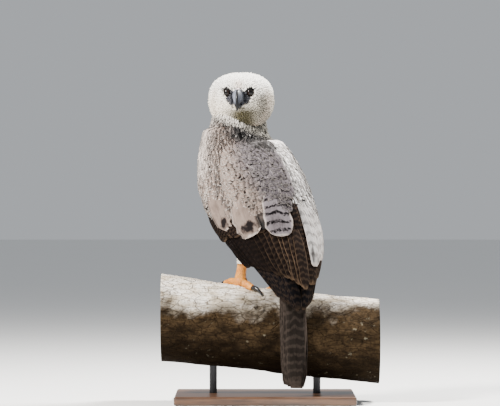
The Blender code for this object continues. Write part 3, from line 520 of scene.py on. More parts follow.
class Coat:
    """One mesh of many feathers: closed vanes whose two faces share their side edges."""

    def __init__(self, name):
        self.name = name
        self.points, self.quads, self.triangles = [], [], []
        self.values = {"place": [], "pattern": [], "tone": []}
        self.patch = []
        self.size = 0

    def add(self, grid, outer, thick, normal, tone, pattern, root_uv):
        """outer: (count, rows, columns, 3) points of the outer face. normal: (count, rows, 3). tone and
        pattern: (count, 3). root_uv: (count, 2)."""
        across, down = grid
        count, rows, columns = outer.shape[:3]
        drop = normal[:, :, None] * (thick * (1 - across ** 2))[None, None, :, None]
        inner = (outer - drop)[:, :, 1:-1]
        own = rows * columns
        each = own + rows * (columns - 2)
        top = np.arange(own).reshape(rows, columns)
        low = top.copy()
        low[:, 1:-1] = own + np.arange(rows * (columns - 2)).reshape(rows, columns - 2)
        quads, triangles = [cells(top), cells(low)[:, ::-1]], []
        for row, flip in ((0, False), (rows - 1, True)):
            for j in range(columns - 1):
                face = [top[row, j], low[row, j], low[row, j + 1], top[row, j + 1]]
                face = list(dict.fromkeys(int(v) for v in (face[::-1] if flip else face)))
                (quads if len(face) == 4 else triangles).append(np.array([face]))
        offset = (self.size + np.arange(count) * each)[:, None, None]
        self.quads.append((np.concatenate(quads)[None] + offset).reshape(-1, 4))
        self.triangles.append((np.concatenate(triangles)[None] + offset).reshape(-1, 3))
        both = np.concatenate([outer.reshape(count, own, 3), inner.reshape(count, -1, 3)], axis=1)
        self.points.append(both.reshape(-1, 3))
        spot = stacked(across[None], down[:, None])
        local = np.concatenate([spot.reshape(-1, 2), spot[:, 1:-1].reshape(-1, 2)])
        chance = np.broadcast_to(RANDOM.random(count)[:, None, None], (count, each, 1))
        place = np.concatenate([np.broadcast_to(local, (count, each, 2)), chance], -1)
        self.values["place"].append(place.reshape(-1, 3))
        for label, value in (("tone", tone), ("pattern", pattern)):
            self.values[label].append(np.repeat(np.broadcast_to(value, (count, 3)), each, axis=0))
        patch = root_uv[:, None] + (local - (0, 0.5)) * (PATCH / 2, PATCH)
        self.patch.append(patch.reshape(-1, 2))
        self.size += count * each

    def finish(self, look, *nodes):
        """Makes the mesh, with the numbers that its material reads and the OFBake map."""
        quads, triangles = np.concatenate(self.quads), np.concatenate(self.triangles)
        corners = np.concatenate([quads.ravel(), triangles.ravel()])
        counts = np.concatenate([np.full(len(quads), 4), np.full(len(triangles), 3)])
        mesh = bpy.data.meshes.new(self.name)
        mesh.vertices.add(self.size)
        mesh.vertices.foreach_set("co", np.concatenate(self.points).astype(np.float32).ravel())
        mesh.loops.add(len(corners))
        mesh.loops.foreach_set("vertex_index", corners.astype(np.int32))
        mesh.polygons.add(len(counts))
        mesh.polygons.foreach_set("loop_start", (np.cumsum(counts) - counts).astype(np.int32))
        mesh.update(calc_edges=True)
        mesh.shade_smooth()
        for label, values in self.values.items():
            store(mesh, label, np.concatenate(values))
        layer = mesh.uv_layers.new(name="OFBake")
        patch = np.clip(np.concatenate(self.patch)[corners], 0.0005, 0.9995)
        layer.data.foreach_set("uv", patch.astype(np.float32).ravel())
        dress(placed(self.name, mesh), look, *nodes)


ROUNDING_FROM = 0.70
SHAFT_SHARE = 0.09


def outline(v, root_width, fullest, tip_width):
    """Half width along a feather as a share of its widest, with a rounded end."""
    rise = root_width + (1 - root_width) * np.sin(np.clip(v / fullest, 0, 1) * math.pi / 2)
    end = np.clip((v - ROUNDING_FROM) / (1 - ROUNDING_FROM), 0, 1)
    return rise * (tip_width + (1 - tip_width) * np.sqrt(np.maximum(0, 1 - end ** 2.4)))


def path_feathers(coat, grid, shape, paths, normals, half, tone, pattern, root_uv, arch=0.22, thick=0.0006,
                  roll=0.15):
    """Feathers along paths (count, rows, 3), each a little rolled and arched, with edges that waver."""
    across, down = grid
    tangent = unit(np.gradient(paths, axis=1))
    side = unit(np.cross(tangent, normals))
    facing = unit(np.cross(side, tangent))
    width = half[:, None] * outline(down, *SHAPES[shape])[None] * uneven(0.05, len(half), len(down))
    turn = np.tan(roll * normal_random(len(half)))[:, None, None, None]
    across, width = across[None, None, :, None], width[:, :, None, None]
    ridge = 0.0004 * bell(across, SHAFT_SHARE)
    outer = (paths[:, :, None] + side[:, :, None] * across * width
             + facing[:, :, None] * ((turn * across - arch * across ** 2) * width + ridge))
    coat.add(grid, outer, thick, facing, tone, pattern, root_uv)


def bed_feathers(coat, side, root, tip, half, rise, roll, tone, pattern, root_uv, over=None, shape="long"):
    """Big vanes over the wing bed. root and tip: (count, 2) stations and angles. rise: (count, 2) heights at
    root and tip over the bed, or over what the function over gives."""
    across, v = BIG[0][None, None], BIG[1][None]
    s = root[:, :1] + (tip[:, :1] - root[:, :1]) * v
    theta = root[:, 1:] + (tip[:, 1:] - root[:, 1:]) * v
    height = rise[:, :1] + (rise[:, 1:] - rise[:, :1]) * np.minimum(1, v * 2.2)
    one_degree = on_bed(side, s, theta + 1.0, 0.01)[0] - on_bed(side, s, theta, 0.01)[0]
    per_degree = np.linalg.norm(one_degree, axis=-1)
    waver = uneven(0.045, *s.shape, 2)
    waver = np.where(RANDOM.random(waver.shape) < 0.06, waver * 0.84, waver)
    waver = np.where(across < 0, waver[..., :1], waver[..., 1:]) * np.abs(across) + (1 - np.abs(across))
    offset = across * (half[:, None] * outline(v, *SHAPES[shape]))[..., None] * waver
    theta = theta[..., None] + offset / per_degree[..., None]
    s = np.broadcast_to(s[..., None], theta.shape)
    height = height[..., None] + offset * math.tan(math.radians(roll)) + 0.0006 * bell(across, SHAFT_SHARE)
    if over:
        height = height + over(side, s, theta)
    outer, normal = on_bed(side, s, theta, height)
    if side < 0:
        outer = outer[:, :, ::-1]
    coat.add(BIG, outer, 0.0008, normal[:, :, 4], tone, pattern, root_uv)


# Colours

def srgb(red, green, blue):
    c = np.array((red, green, blue)) / 255
    return np.where(c <= 0.04045, c / 12.92, ((c + 0.055) / 1.055) ** 2.4)


WHITE = srgb(247, 244, 238)
CREAM = srgb(226, 217, 200)
# Painted shade on the throat under the bill, an olive grey
THROAT_PAINTED_SHADE = srgb(84, 78, 54)
NECK = srgb(212, 206, 196)
# Painted shade on the neck under the chin
NECK_PAINTED_SHADE = srgb(112, 109, 100)
COLLAR = srgb(80, 78, 78)
SLATE = srgb(60, 61, 68)
# The scapulars' beige, darkened in part as painted shade
BEIGE = srgb(138, 122, 113)
SHOULDER = srgb(226, 216, 208)
# The mantle's grey, darkened in part as painted shade
MANTLE = srgb(98, 92, 95)
WING_WHITE = srgb(240, 236, 233)
BELLY = srgb(236, 231, 222)
BREAST = srgb(178, 173, 170)
FLIGHT = srgb(16, 12, 11)
FLIGHT_BROWN = srgb(26, 20, 17)
BLUE_BLACK = srgb(12, 11, 13)
TAIL_DARK = srgb(12, 10, 9)
TAIL_GREY = srgb(31, 27, 24)


# Each plumage's colours for marks, bars and fringes, and how it differs from the plain one
PLUMAGES = {
    "body": (((96, 90, 86), (120, 112, 106), (230, 227, 221)), dict(grain=0.2, shaft=0.12, cloudy=0.15)),
    "head": (((150, 140, 128), (150, 140, 128), (247, 244, 238)), dict(grain=0.25, shaft=0.08, cloudy=0.22)),
    "back": (((22, 18, 18), (60, 56, 58), (222, 212, 204)),
             dict(bar_count=2.2, mark_size=(0.80, 0.26), mark_at=0.88, grain=0.35, shaft=0.1, cloudy=0.45)),
    "scapular": (((26, 22, 22), (14, 12, 13), (190, 178, 170)),
                 dict(mark_size=(0.60, 0.15), mark_at=0.80, grain=0.6, shaft=0.2, cloudy=0.6,
                      edge_from=0.84)),
    "flight": (((14, 11, 10), (92, 74, 60), (104, 84, 66)),
               dict(bar_count=13.0, grain=0.5, cloudy=0.5, edge_from=0.90)),
    "tail": (((24, 20, 19), (76, 66, 60), (96, 84, 76)),
             dict(bar_count=17.0, grain=0.5, cloudy=0.5, edge_from=0.93)),
}


def mixed(a, b, share):
    share = np.asarray(share, float)[..., None]
    return a * (1 - share) + b * share


def varied(tone, amount, count):
    """Each feather a little lighter or darker."""
    return tone * uneven(amount, count, 1)


class Value:
    """A number in a material's node tree. + - * / add the node that works out the result."""

    def __init__(self, nodes, socket):
        self.nodes, self.socket = nodes, socket

    def __add__(self, other):
        return self.nodes.math("ADD", self, other)

    def __sub__(self, other):
        return self.nodes.math("SUBTRACT", self, other)

    def __mul__(self, other):
        return self.nodes.math("MULTIPLY", self, other)

    def __truediv__(self, other):
        return self.nodes.math("DIVIDE", self, other)


class Nodes:
    """Short ways to write a material's node tree."""

    def __init__(self, name, roughness=0.8, **constants):
        self.material = bpy.data.materials.new(name)
        self.material.use_nodes = True
        self.tree = self.material.node_tree
        self.shader = self.tree.nodes["Principled BSDF"]
        for label, value in {"Roughness": roughness, **constants}.items():
            self.shader.inputs[label.replace("_", " ")].default_value = value

    def link(self, value, socket):
        value = getattr(value, "socket", value)
        if isinstance(value, bpy.types.NodeSocket):
            self.tree.links.new(value, socket)
        elif np.size(value) == 3 and len(socket.default_value) == 4:
            socket.default_value = (*map(float, value), 1.0)
        else:
            socket.default_value = value

    def node(self, kind, values=(), named=(), **settings):
        """A new node with its first inputs, and those that are named, linked or set."""
        made = self.tree.nodes.new("ShaderNode" + kind)
        for label, value in settings.items():
            setattr(made, label, value)
        for value, socket in zip(values, made.inputs):
            self.link(value, socket)
        for label, value in dict(named).items():
            self.link(value, made.inputs[label])
        return made

    def attribute(self, name):
        return self.node("Attribute", attribute_name=name).outputs["Vector"]

    def position(self):
        return self.node("TexCoord").outputs["Object"]

    def parts(self, vector):
        return [Value(self, socket) for socket in self.node("SeparateXYZ", (vector,)).outputs]

    def joined(self, x, y, z):
        return self.node("CombineXYZ", (x, y, z)).outputs[0]

    def math(self, operation, *values):
        return Value(self, self.node("Math", values, operation=operation).outputs[0])

    def step(self, value, low, high, out_low=0.0, out_high=1.0):
        values = (value, low, high, out_low, out_high)
        return Value(self, self.node("MapRange", values, interpolation_type="SMOOTHSTEP").outputs[0])

    def mix(self, share, a, b, blend="MIX"):
        made = self.node("Mix", data_type="RGBA", blend_type=blend)
        for value, socket in ((share, made.inputs["Factor"]), (a, made.inputs[6]), (b, made.inputs[7])):
            self.link(value, socket)
        return made.outputs[2]

    def darker(self, colour, share, by=(0.4, 0.38, 0.37)):
        return self.mix(share, colour, self.mix(1.0, colour, by, "MULTIPLY"))

    def noise(self, vector, scale, detail=2.0, roughness=0.5):
        named = {"Scale": scale, "Detail": detail, "Roughness": roughness}
        return Value(self, self.node("TexNoise", (vector,), named).outputs["Fac"])

    def cells(self, vector, scale, feature="F1"):
        made = self.node("TexVoronoi", (vector,), {"Scale": scale}, feature=feature)
        return Value(self, made.outputs["Distance"])

    def stretched(self, vector, scale):
        return self.node("Mapping", (vector,), {"Scale": scale}).outputs[0]

    def distance_along(self, centre, axis):
        """How far the surface point lies from centre along an axis."""
        offset = self.node("VectorMath", (self.position(), tuple(centre)), operation="SUBTRACT").outputs[0]
        made = self.node("VectorMath", (offset, tuple(axis)), operation="DOT_PRODUCT")
        return Value(self, made.outputs["Value"])

    def finished(self, colour, height=None, strength=0.0, distance=0.0):
        """The material, given its colour and the height field of its bump, if it has one."""
        self.link(colour, self.shader.inputs["Base Color"])
        if height is not None:
            bump = self.node("Bump", named={"Strength": strength, "Distance": distance, "Height": height})
            self.link(bump.outputs[0], self.shader.inputs["Normal"])
        return self.material


def plumage(name, mark, bar, fringe, bar_count=6.0, mark_size=(0.34, 0.20), mark_at=0.66, grain=0.14,
            shaft=0.3, cloudy=0.2, edge_from=0.70):
    """A feather's colour from its own tone, with a dark mark near its end, cross bars and a pale fringe. The
    attribute 'pattern' holds how strong those three are on each feather."""
    mark, bar, fringe = srgb(*mark), srgb(*bar), srgb(*fringe)
    n = Nodes(name + "_plumage", 0.85, Specular_IOR_Level=0.02)
    fu, fv, chance = n.parts(n.attribute("place"))
    mark_on, bars_on, fringe_on = n.parts(n.attribute("pattern"))
    spread = chance * 91.0
    local = n.joined(fu * 1.2 + spread, fv * 3.0, spread)
    wobble = n.noise(local, 1.6, 3.0, 0.6) - 0.5
    streak = n.noise(n.joined(fu * 7.0 + spread, fv * 1.6, chance), 2.2, 3.0, 0.65)
    base = n.darker(n.attribute("tone"), n.step(streak, 0.35, 0.8, 0.0, grain))
    base = n.darker(base, n.step(n.noise(n.position(), 26.0, 5.0, 0.62), 0.42, 0.72, 0.0, cloudy))
    side = n.math("ABSOLUTE", fu)
    away_u, away_v = fu / mark_size[0], (fv - mark_at) / mark_size[1]
    away = n.math("SQRT", away_u * away_u + away_v * away_v)
    blot = n.step(away + wobble * 3.2, 1.15, 0.35)
    base = n.mix(blot * mark_on, base, mark)
    phase = fv * (bar_count * 2 * math.pi) + wobble * 7.0 + side * -1.6 + chance * 3.0
    bars = n.step(n.math("SINE", phase), 0.0, 0.75)
    broken = n.step(n.noise(local, 5.0, 3.0, 0.6), 0.30, 0.52)
    base = n.mix(bars * broken * bars_on, base, bar)
    edge = n.math("MAXIMUM", side, n.step(fv, 0.62, 1.02))
    edge = n.step(edge + wobble * 0.22, edge_from, 0.98)
    base = n.mix(edge * fringe_on, base, fringe)
    barb = n.math("SINE", fv * 150.0 + side * -70.0)
    return n.finished(n.darker(base, n.step(side, 0.07, 0.02) * shaft), barb * 0.3 + streak, 0.3, 0.0006)


def skin_look():
    """The skin under the coat, in the coat's own colours."""
    n = Nodes("skin", 0.85)
    cloud = n.step(n.noise(n.position(), 60.0, 4.0), 0.3, 0.7, 0.0, 0.15)
    return n.finished(n.darker(n.attribute("tone"), cloud), n.noise(n.position(), 400.0, 3.0), 0.4, 0.001)


# Where each marking and each painted shade lies, shared by skin and coat

def above_collar(p):
    """Height of world points over the collar's middle line."""
    return p[..., 2] - np.interp(p[..., 0], COLLAR_X, COLLAR_Z)


def collar_share(p):
    away = above_collar(p)
    dark = np.interp(p[..., 0], (-0.130, -0.080), (0.40, 1.0))
    return dark * smooth(away, 0.030, 0.014) * smooth(away, -0.024, -0.009)


def coat_tone(s, theta, p):
    """Colour of neck, trunk, back and left wing by bed station, angle and world place. The neck above the
    collar is darker towards +x as painted shade under the chin, and the mantle's grey and the scapulars'
    beige are darkened in part as painted shade.
    """
    s, theta = together(s, theta)
    turned = wrapped(theta)
    away = above_collar(p)
    beige_from = np.interp(s, (0.0, 3.2, 5.0), (42.0, 38.0, 18.0))
    back = mixed(MANTLE, BEIGE, smooth(turned - beige_from, -10, 12))
    back = mixed(back, SHOULDER, 0.8 * smooth(turned, 62, 100) * smooth(s, 3.2, 1.6))
    low_middle = smooth(s, 3.4, 4.6) * smooth(turned, 26, 8) * smooth(turned, -16, -4)
    back = mixed(back, MANTLE * 0.62, 0.7 * low_middle)
    back = mixed(back, FLIGHT, smooth(s, 3.3, 3.8) * smooth(turned, 97, 107))
    front = mixed(BREAST, BELLY, smooth(s, 1.4, 3.2))
    tone = mixed(front, back, smooth(np.abs(turned), 128, 116))
    tone = mixed(tone, NECK, smooth(away, 0.004, 0.018))
    # Painted shade: the neck above the collar darkens towards +x, under the chin
    tone = mixed(tone, NECK_PAINTED_SHADE, 0.8 * smooth(away, 0.006, 0.020) * smooth(p[..., 0], -0.085, -0.045))
    return mixed(tone, COLLAR, 0.9 * collar_share(p))


def speckled(tone, p):
    """The collar's dark and pale specks, feather by feather."""
    band = collar_share(p)
    chance = RANDOM.random(len(tone))
    tone = mixed(tone, COLLAR * 0.42, band * (chance < 0.55))
    tone = mixed(tone, WHITE * 0.8, band * (chance > 0.92) * 0.4)
    near_band = smooth(above_collar(p), 0.045, 0.020) * (above_collar(p) > 0)
    return mixed(tone, COLLAR * 0.7, near_band * (chance < 0.12) * 0.7)


# The dark bare skin beside the bill: its outer edge by height, and the brow over it by distance outwards
MASK_HEIGHTS = (-0.0200, -0.0180, -0.0092, -0.0010, 0.0055, 0.0200, 0.0365)
MASK_EDGE = (0.0000, 0.0060, 0.0200, 0.0300, 0.0330, 0.0420, 0.0470)
BROW_AT = (0.000, 0.018, 0.034, 0.052)
BROW_HEIGHTS = (0.024, 0.028, 0.0330, 0.0345)


def slate_mask(q):
    """Share of dark skin: a V from the outer corners of the eyes down to the tip of the bill."""
    out, u = np.abs(q[..., 1]), q[..., 2]
    side = smooth(out - np.interp(u, MASK_HEIGHTS, MASK_EDGE), 0.0015, -0.0015)
    brow = smooth(u - np.interp(out, BROW_AT, BROW_HEIGHTS), 0.0010, -0.0010)
    return side * brow * (u > -0.020) * (q[..., 0] > 0.025)


def head_tone(q):
    """Colour of the head by place in head axes: white crown, cream cheeks and slate by the bill, with painted
    shade on the throat under the bill, on the cheek away from the key light and in the fold along the facial
    disc's rim.
    """
    f, l, u = q[..., 0], q[..., 1], q[..., 2]
    tone = mixed(WHITE, CREAM, smooth(u, 0.040, -0.02) * 0.9)
    # Painted shade: the cheek on the bird's left, away from the key light, is darkened
    tone = mixed(tone, CREAM * 0.30, 0.95 * smooth(l, 0.025, 0.070) * smooth(u, 0.035, 0.0))
    # Painted shade on the throat, under the bill and the chin
    throat = smooth(u, -0.010, -0.032) * smooth(f, 0.0, 0.03) * smooth(np.abs(l - 0.012), 0.066, 0.008)
    tone = mixed(tone, THROAT_PAINTED_SHADE, throat)
    tone = mixed(tone, srgb(206, 190, 176), 0.8 * near(q, (0.058, 0.0, 0.045), 0.013))
    # Painted shade: a darker ring in the fold along the facial disc's rim
    rim = bell(np.hypot(l - 0.005, u + 0.005) - 0.076, 0.009) * smooth(u, 0.045, 0.020) * (f > 0)
    tone = mixed(tone, srgb(176, 162, 148), 0.5 * rim)
    return mixed(tone, SLATE, slate_mask(q))


# Skin

# The remesh's cell, and how deep the skin lies under the coat's surface on the trunk, the head and the bed
SKIN_VOXEL = 0.0045
TRUNK_COAT = 0.0075
HEAD_COAT = 0.0055
BED_COAT = 0.0055
SKIN_SMOOTHING = 6


def trunk_form():
    s = np.linspace(0.3, 8.9, 40)[:, None]
    return loft("trunk", on_section(TRUNK, s, np.degrees(full_turn(48)), -TRUNK_COAT)[0])


def head_form():
    form = sphere("head", (0, 0, 0), 1.0, 56, 36)
    for vertex in form.data.vertices:
        d = unit(np.array(vertex.co))
        vertex.co = in_head(d * (head_radius(d) - HEAD_COAT))
    return form


def bed_form(side, first, last, start, end):
    """The flesh under the small feathers of a wing or of the back."""
    s = np.linspace(first, last, 26)[:, None]
    theta = start(s) + (end(s) - start(s)) * np.linspace(0.03, 0.97, 18)
    top = on_bed(side, s, theta, np.maximum(coat_height(side, s, theta) - BED_COAT, -0.006))[0]
    under = on_bed(side, s, theta, -0.015)[0]
    return loft("flesh", np.concatenate([top, under[:, ::-1]], axis=1))


def thigh_row(side, t):
    row = along(THIGH, t)
    back = RIGHT_LEG_BACK if side < 0 else 0.0
    slim = 1 - 0.20 * smooth(t, 0.4, 1.6) * smooth(t, 4.0, 3.0)
    return world(row[..., 0] + back, side * row[..., 1], row[..., 2]), row[..., 3] * slim


def thigh_form(side):
    centres, radii = thigh_row(side, np.linspace(0, 4, 20))
    return loft("thigh", tube_rings(centres, radii - 0.005, 28))


def tail_axes(s):
    """Centre, left and dorsal directions along the tail, which twists by its own yaw."""
    return section_axes(TAIL_LINE, s, body_axes(along(TAIL_LINE, s)[..., 3])[1])[1:]


def tail_root_form():
    """The flesh that the tail's quills grow from."""
    s = np.linspace(0, 2.2, 12)
    centre, left, dorsal = tail_axes(s)
    half = np.interp(s, (0, 1, 2.2), (0.022, 0.030, 0.022))
    depth = np.interp(s, (0, 1, 2.2), (0.011, 0.013, 0.006))
    turn = full_turn(24)
    rings = (centre[:, None] + left[:, None] * (half[:, None] * np.sin(turn))[..., None]
             + dorsal[:, None] * (depth[:, None] * np.cos(turn))[..., None])
    return loft("tail_root", rings)


def back_start(s):
    """The angle at which the small feathers of the back begin, past its middle to the right."""
    return np.interp(s, (0.0, 0.7, 1.1, 1.6, 4.0, 4.9), (36.0, 30.0, -4.0, -14.0, -12.0, -3.0))


def left_end(s):
    """The angle of the left wing's outer edge."""
    return at_station(OUTER_EDGE, s)


def right_start(s):
    return core_edges(-1, s)[0]


def right_end(s):
    return core_edges(-1, s)[1]


def make_skin():
    """One closed skin from head to tail in the coat's markings and its painted shade."""
    forms = [trunk_form(), head_form(), tail_root_form()]
    forms.append(bed_form(1, 0.25, 6.0, back_start, left_end))
    forms.append(bed_form(-1, 1.5, 6.0, right_start, right_end))
    forms += [thigh_form(side) for side in (-1, 1)]
    skin = merged("skin", forms, SKIN_VOXEL, SKIN_SMOOTHING)
    mesh = skin.data
    points = np.empty(len(mesh.vertices) * 3, np.float32)
    mesh.vertices.foreach_get("co", points)
    points = points.reshape(-1, 3).astype(float)
    s, theta, _ = trunk_place(points)
    tone = coat_tone(s - 1, theta, points)
    back = smooth(np.abs(wrapped(theta)), 120, 100)
    tone = mixed(tone, FLIGHT, np.maximum(smooth(points[:, 2], 0.56, 0.48), smooth(s, 5.2, 6.0)) * back)
    q = to_head(points)
    tone = mixed(tone, head_tone(q), smooth(np.linalg.norm(q, axis=-1) - head_radius(unit(q)), 0.012, 0.0))
    store(mesh, "tone", tone)
    dress(skin, skin_look(), "head", "neck", "torso", "thigh_left", "thigh_right")


# Coat of the neck, trunk and legs

def metres_per_station(stations, s):
    s = np.clip(s, SLOPE_STEP / 2, len(stations) - 1 - SLOPE_STEP / 2)
    return np.linalg.norm(change_at(stations, s)[..., :3], axis=-1) / SLOPE_STEP


def brick_rows(first, last, step_at, ends_at, spacing_at):
    """Staggered roots: stations and angles, row by row. ends_at gives a row's first and last angle."""
    stations, angles = [], []
    s, index = first, 0
    while s < last:
        start, end = ends_at(s)
        spacing = spacing_at(s)
        row = np.arange(start + 0.5 * spacing * (index % 2), end, spacing)
        stations.append(np.full(len(row), s))
        angles.append(row)
        s += step_at(s)
        index += 1
    return np.concatenate(stations), np.concatenate(angles)


def small_coat(name, look, some, paths, normals, half, tone, pattern, root_uv, **settings):
    """A coat piece of the small feathers that some names."""
    coat = Coat(name)
    path_feathers(coat, SMALL, "small", paths[some], normals[some], half[some], tone[some], pattern,
                  root_uv[some], **settings)
    coat.finish(look)


def trunk_feather_size(s):
    """Smallest at the neck, largest from the breast down."""
    return 0.0040 + 0.0060 * smooth(s, 1.2, 3.8)


def trunk_step(s):
    return trunk_feather_size(s) / metres_per_station(TRUNK, s)


def trunk_spacing(s):
    """Degrees between feathers, so that whole ones fill the girth."""
    girth = along(TRUNK, s)[3:].sum() * math.pi / 1.5
    return 360 / int(girth / (1.02 * trunk_feather_size(s)))


TRUNK_FIRST = 0.6
TRUNK_LAST = 8.8
# Pieces of the trunk's coat and the stations that they run between
TRUNK_PIECES = (("coat_neck", 0, 3.0), ("coat_breast", 3.0, 5.0), ("coat_belly", 5.0, 9.5))


def coat_trunk(look):
    """Neck, breast, belly and flanks, where neither wing nor back feathers cover them."""
    s, theta = brick_rows(TRUNK_FIRST, TRUNK_LAST, trunk_step, lambda s: (0, 360), trunk_spacing)
    turned = wrapped(theta)
    bed = s - 1
    under_left = (bed > 0.2) & (turned > 34) & (turned < at_station(OUTER_EDGE, bed) - 14)
    under_back = (bed > 1.35) & (turned > -12) & (turned <= 34)
    under_right = (bed > 1.6) & (turned < -8) & (-turned < at_station(RIGHT_EDGE, bed) - 14)
    keep = ~(under_left | under_back | under_right)
    s, theta = s[keep], theta[keep]
    count = len(s)
    s, theta = s + 0.05 * normal_random(count), theta + 1.5 * normal_random(count)
    half = trunk_feather_size(s)
    v = SMALL[1][None]
    length = half * (3.8 - 1.0 * smooth(s, 1.2, 3.8)) * uneven(0.12, count)
    path_s = s[:, None] + v * (length / metres_per_station(TRUNK, s))[:, None]
    path_theta = theta[:, None] + v * 4 * normal_random(count, 1)
    tip = TRUNK_COAT - 0.0012 + 0.0012 * normal_random(count, 1)
    paths, normals = on_section(TRUNK, path_s, path_theta, -TRUNK_COAT + tip * v ** 0.75)
    tone = speckled(varied(coat_tone(s - 0.75, theta, paths[:, 2]), 0.05, count), paths[:, 2])
    root_uv = patch_place((theta / 360.0) % 1, s / 9)
    seen = ~inside_head(paths[:, 1], 0.004)
    for name, low, high in TRUNK_PIECES:
        some = seen & (s >= low) & (s < high)
        small_coat(name, look, some, paths, normals, 0.72 * half, tone, (0.10, 0.0, 0.15), root_uv)


# Stations between rows of feathers, and metres between the feathers of a row
THIGH_ROW_STEP = 0.085
THIGH_SPACING = 0.0075
THIGH_FEATHER_HALF_WIDTH = 0.0062


def coat_thigh(side, name, look):
    """The feathered trousers, down to the ankle."""
    t, turn = brick_rows(0.6, 3.9, lambda t: THIGH_ROW_STEP, lambda t: (0, 2 * math.pi),
                         lambda t: THIGH_SPACING / thigh_row(side, t)[1])
    count = len(t)
    steps = t[:, None] + SMALL[1][None] * 0.5 * uneven(0.1, count, 1)
    centre, radius = thigh_row(side, np.minimum(steps, 4.0))
    centre = centre - np.maximum(steps - 4.0, 0)[..., None] * 0.022 * UP
    heading = unit(np.gradient(centre, axis=1))
    sideways = unit(np.cross(heading, np.broadcast_to(FORWARD, heading.shape)))
    turn_c, turn_s = np.cos(turn)[:, None, None], np.sin(turn)[:, None, None]
    normal = turn_c * sideways + turn_s * np.cross(sideways, heading)
    paths = centre + normal * (radius - 0.005 + 0.0055 * SMALL[1][None])[..., None]
    outside = trunk_place(paths[:, 0])[2] > 0.88
    tone = varied(BELLY, 0.05, count)
    root_uv = patch_place(turn / (2 * math.pi), t / 4)
    half = np.full(count, THIGH_FEATHER_HALF_WIDTH)
    small_coat(name, look, outside, paths, normal, half, tone, (0.0, 0.1, 0.15), root_uv)


# Coat of the head

# The head's feathers stand in rings round the line of sight, whose angles from it are in degrees
HEAD_RINGS_FROM = 14.0
HEAD_RINGS_TO = 166.0
HEAD_RING_STEP = 2.3
FACE_EDGE = 70.0
HEAD_MEAN_RADIUS = 0.088
HEAD_SPACING = 0.0042
# How far feathers stay from each eye, in radii of its ball
EYE_CLEARANCE = 1.22
# Where the bill and the cere stand, in head axes: least f, greatest l, least u and greatest u
BILL_ROOM = (0.035, 0.0178, -0.021, 0.036)
# Feathers of the face lie away from the bill, and those of the nape away from the crown
BILL_WAY = (1.0, 0.0, 0.12)
CROWN_WAY = (0.0, 0.0, 1.0)


def head_ring_spacing(polar):
    girth = 2 * math.pi * math.sin(math.radians(polar)) * HEAD_MEAN_RADIUS
    return 2 * math.pi / int(10 + girth / HEAD_SPACING)


def coat_head(look):
    """Rings of small feathers round the face. They lie out from the bill, and down at the nape."""
    polar, turn = brick_rows(HEAD_RINGS_FROM, HEAD_RINGS_TO, lambda a: HEAD_RING_STEP,
                             lambda a: (0, 2 * math.pi), head_ring_spacing)
    count = len(polar)
    a = np.radians(polar)
    d = stacked(np.cos(a), np.sin(a) * np.sin(turn), np.sin(a) * np.cos(turn))
    d = unit(d + 0.012 * normal_random(count, 3))
    ruff = bell(polar - 98.0, 12.0) * smooth(d[:, 2], 0.25, -0.2)
    half = 0.0044 + 0.0030 * smooth(polar, 35, 110)
    step = half * (2.4 + 0.6 * ruff) * uneven(0.1, count) / HEAD_MEAN_RADIUS / 3
    path_d = [d]
    for _ in range(3):
        d = path_d[-1]
        away = d * dot(d, BILL_WAY)[:, None] - BILL_WAY
        down = d * dot(d, CROWN_WAY)[:, None] - CROWN_WAY
        share = smooth(polar, 75.0, 125.0)[..., None]
        path_d.append(unit(d + unit(unit(away) * (1 - share) + unit(down) * share) * step[:, None]))
    rise = HEAD_COAT - 0.0002 + 0.0008 * normal_random(count) + 0.0030 * ruff
    paths, normals = on_head(np.stack(path_d, 1), -HEAD_COAT + rise[:, None] * SMALL[1][None] ** 0.8)
    q = to_head(paths[:, 1])
    keep = trunk_place(paths[:, 0])[2] > 0.96
    keep |= paths[:, 0, 2] > TRUNK[1, 2] + 0.01
    for side in (-1, 1):
        eye = eye_centre(side) + eye_axis(side) * 0.006
        keep &= np.linalg.norm(paths[:, 2] - eye, axis=-1) > EYE_RADIUS * EYE_CLEARANCE
    front, half_width, bottom, top = BILL_ROOM
    keep &= ~((q[:, 0] > front) & (np.abs(q[:, 1]) < half_width) & (q[:, 2] > bottom) & (q[:, 2] < top))
    tone = varied(head_tone(q), 0.07, count)
    # Painted shadow under the chin: a darker ring of the lower head's feathers at the ruff
    tone = mixed(tone, COLLAR, 0.35 * bell(polar - 106, 5.0) * (q[:, 2] < 0.0))
    root_uv = patch_place(turn / (2 * math.pi), polar / 180)
    half = half * (0.62 - 0.26 * slate_mask(q))
    for name, region in (("coat_face", polar < FACE_EDGE), ("coat_crown", polar >= FACE_EDGE)):
        small_coat(name, look, keep & region, paths, normals, half, tone, (0.04, 0.0, 0.10), root_uv,
                   thick=0.0004)


# Rows of the crest: how many feathers, the fan they fill in degrees, height over the head's middle and reach
CREST_ROWS = ((9, 58.0, 0.052, 0.80), (13, 76.0, 0.036, 1.0))
CREST_LENGTH = 0.103
CREST_HALF_WIDTH = 0.0128
CREST_DROOP = 0.018


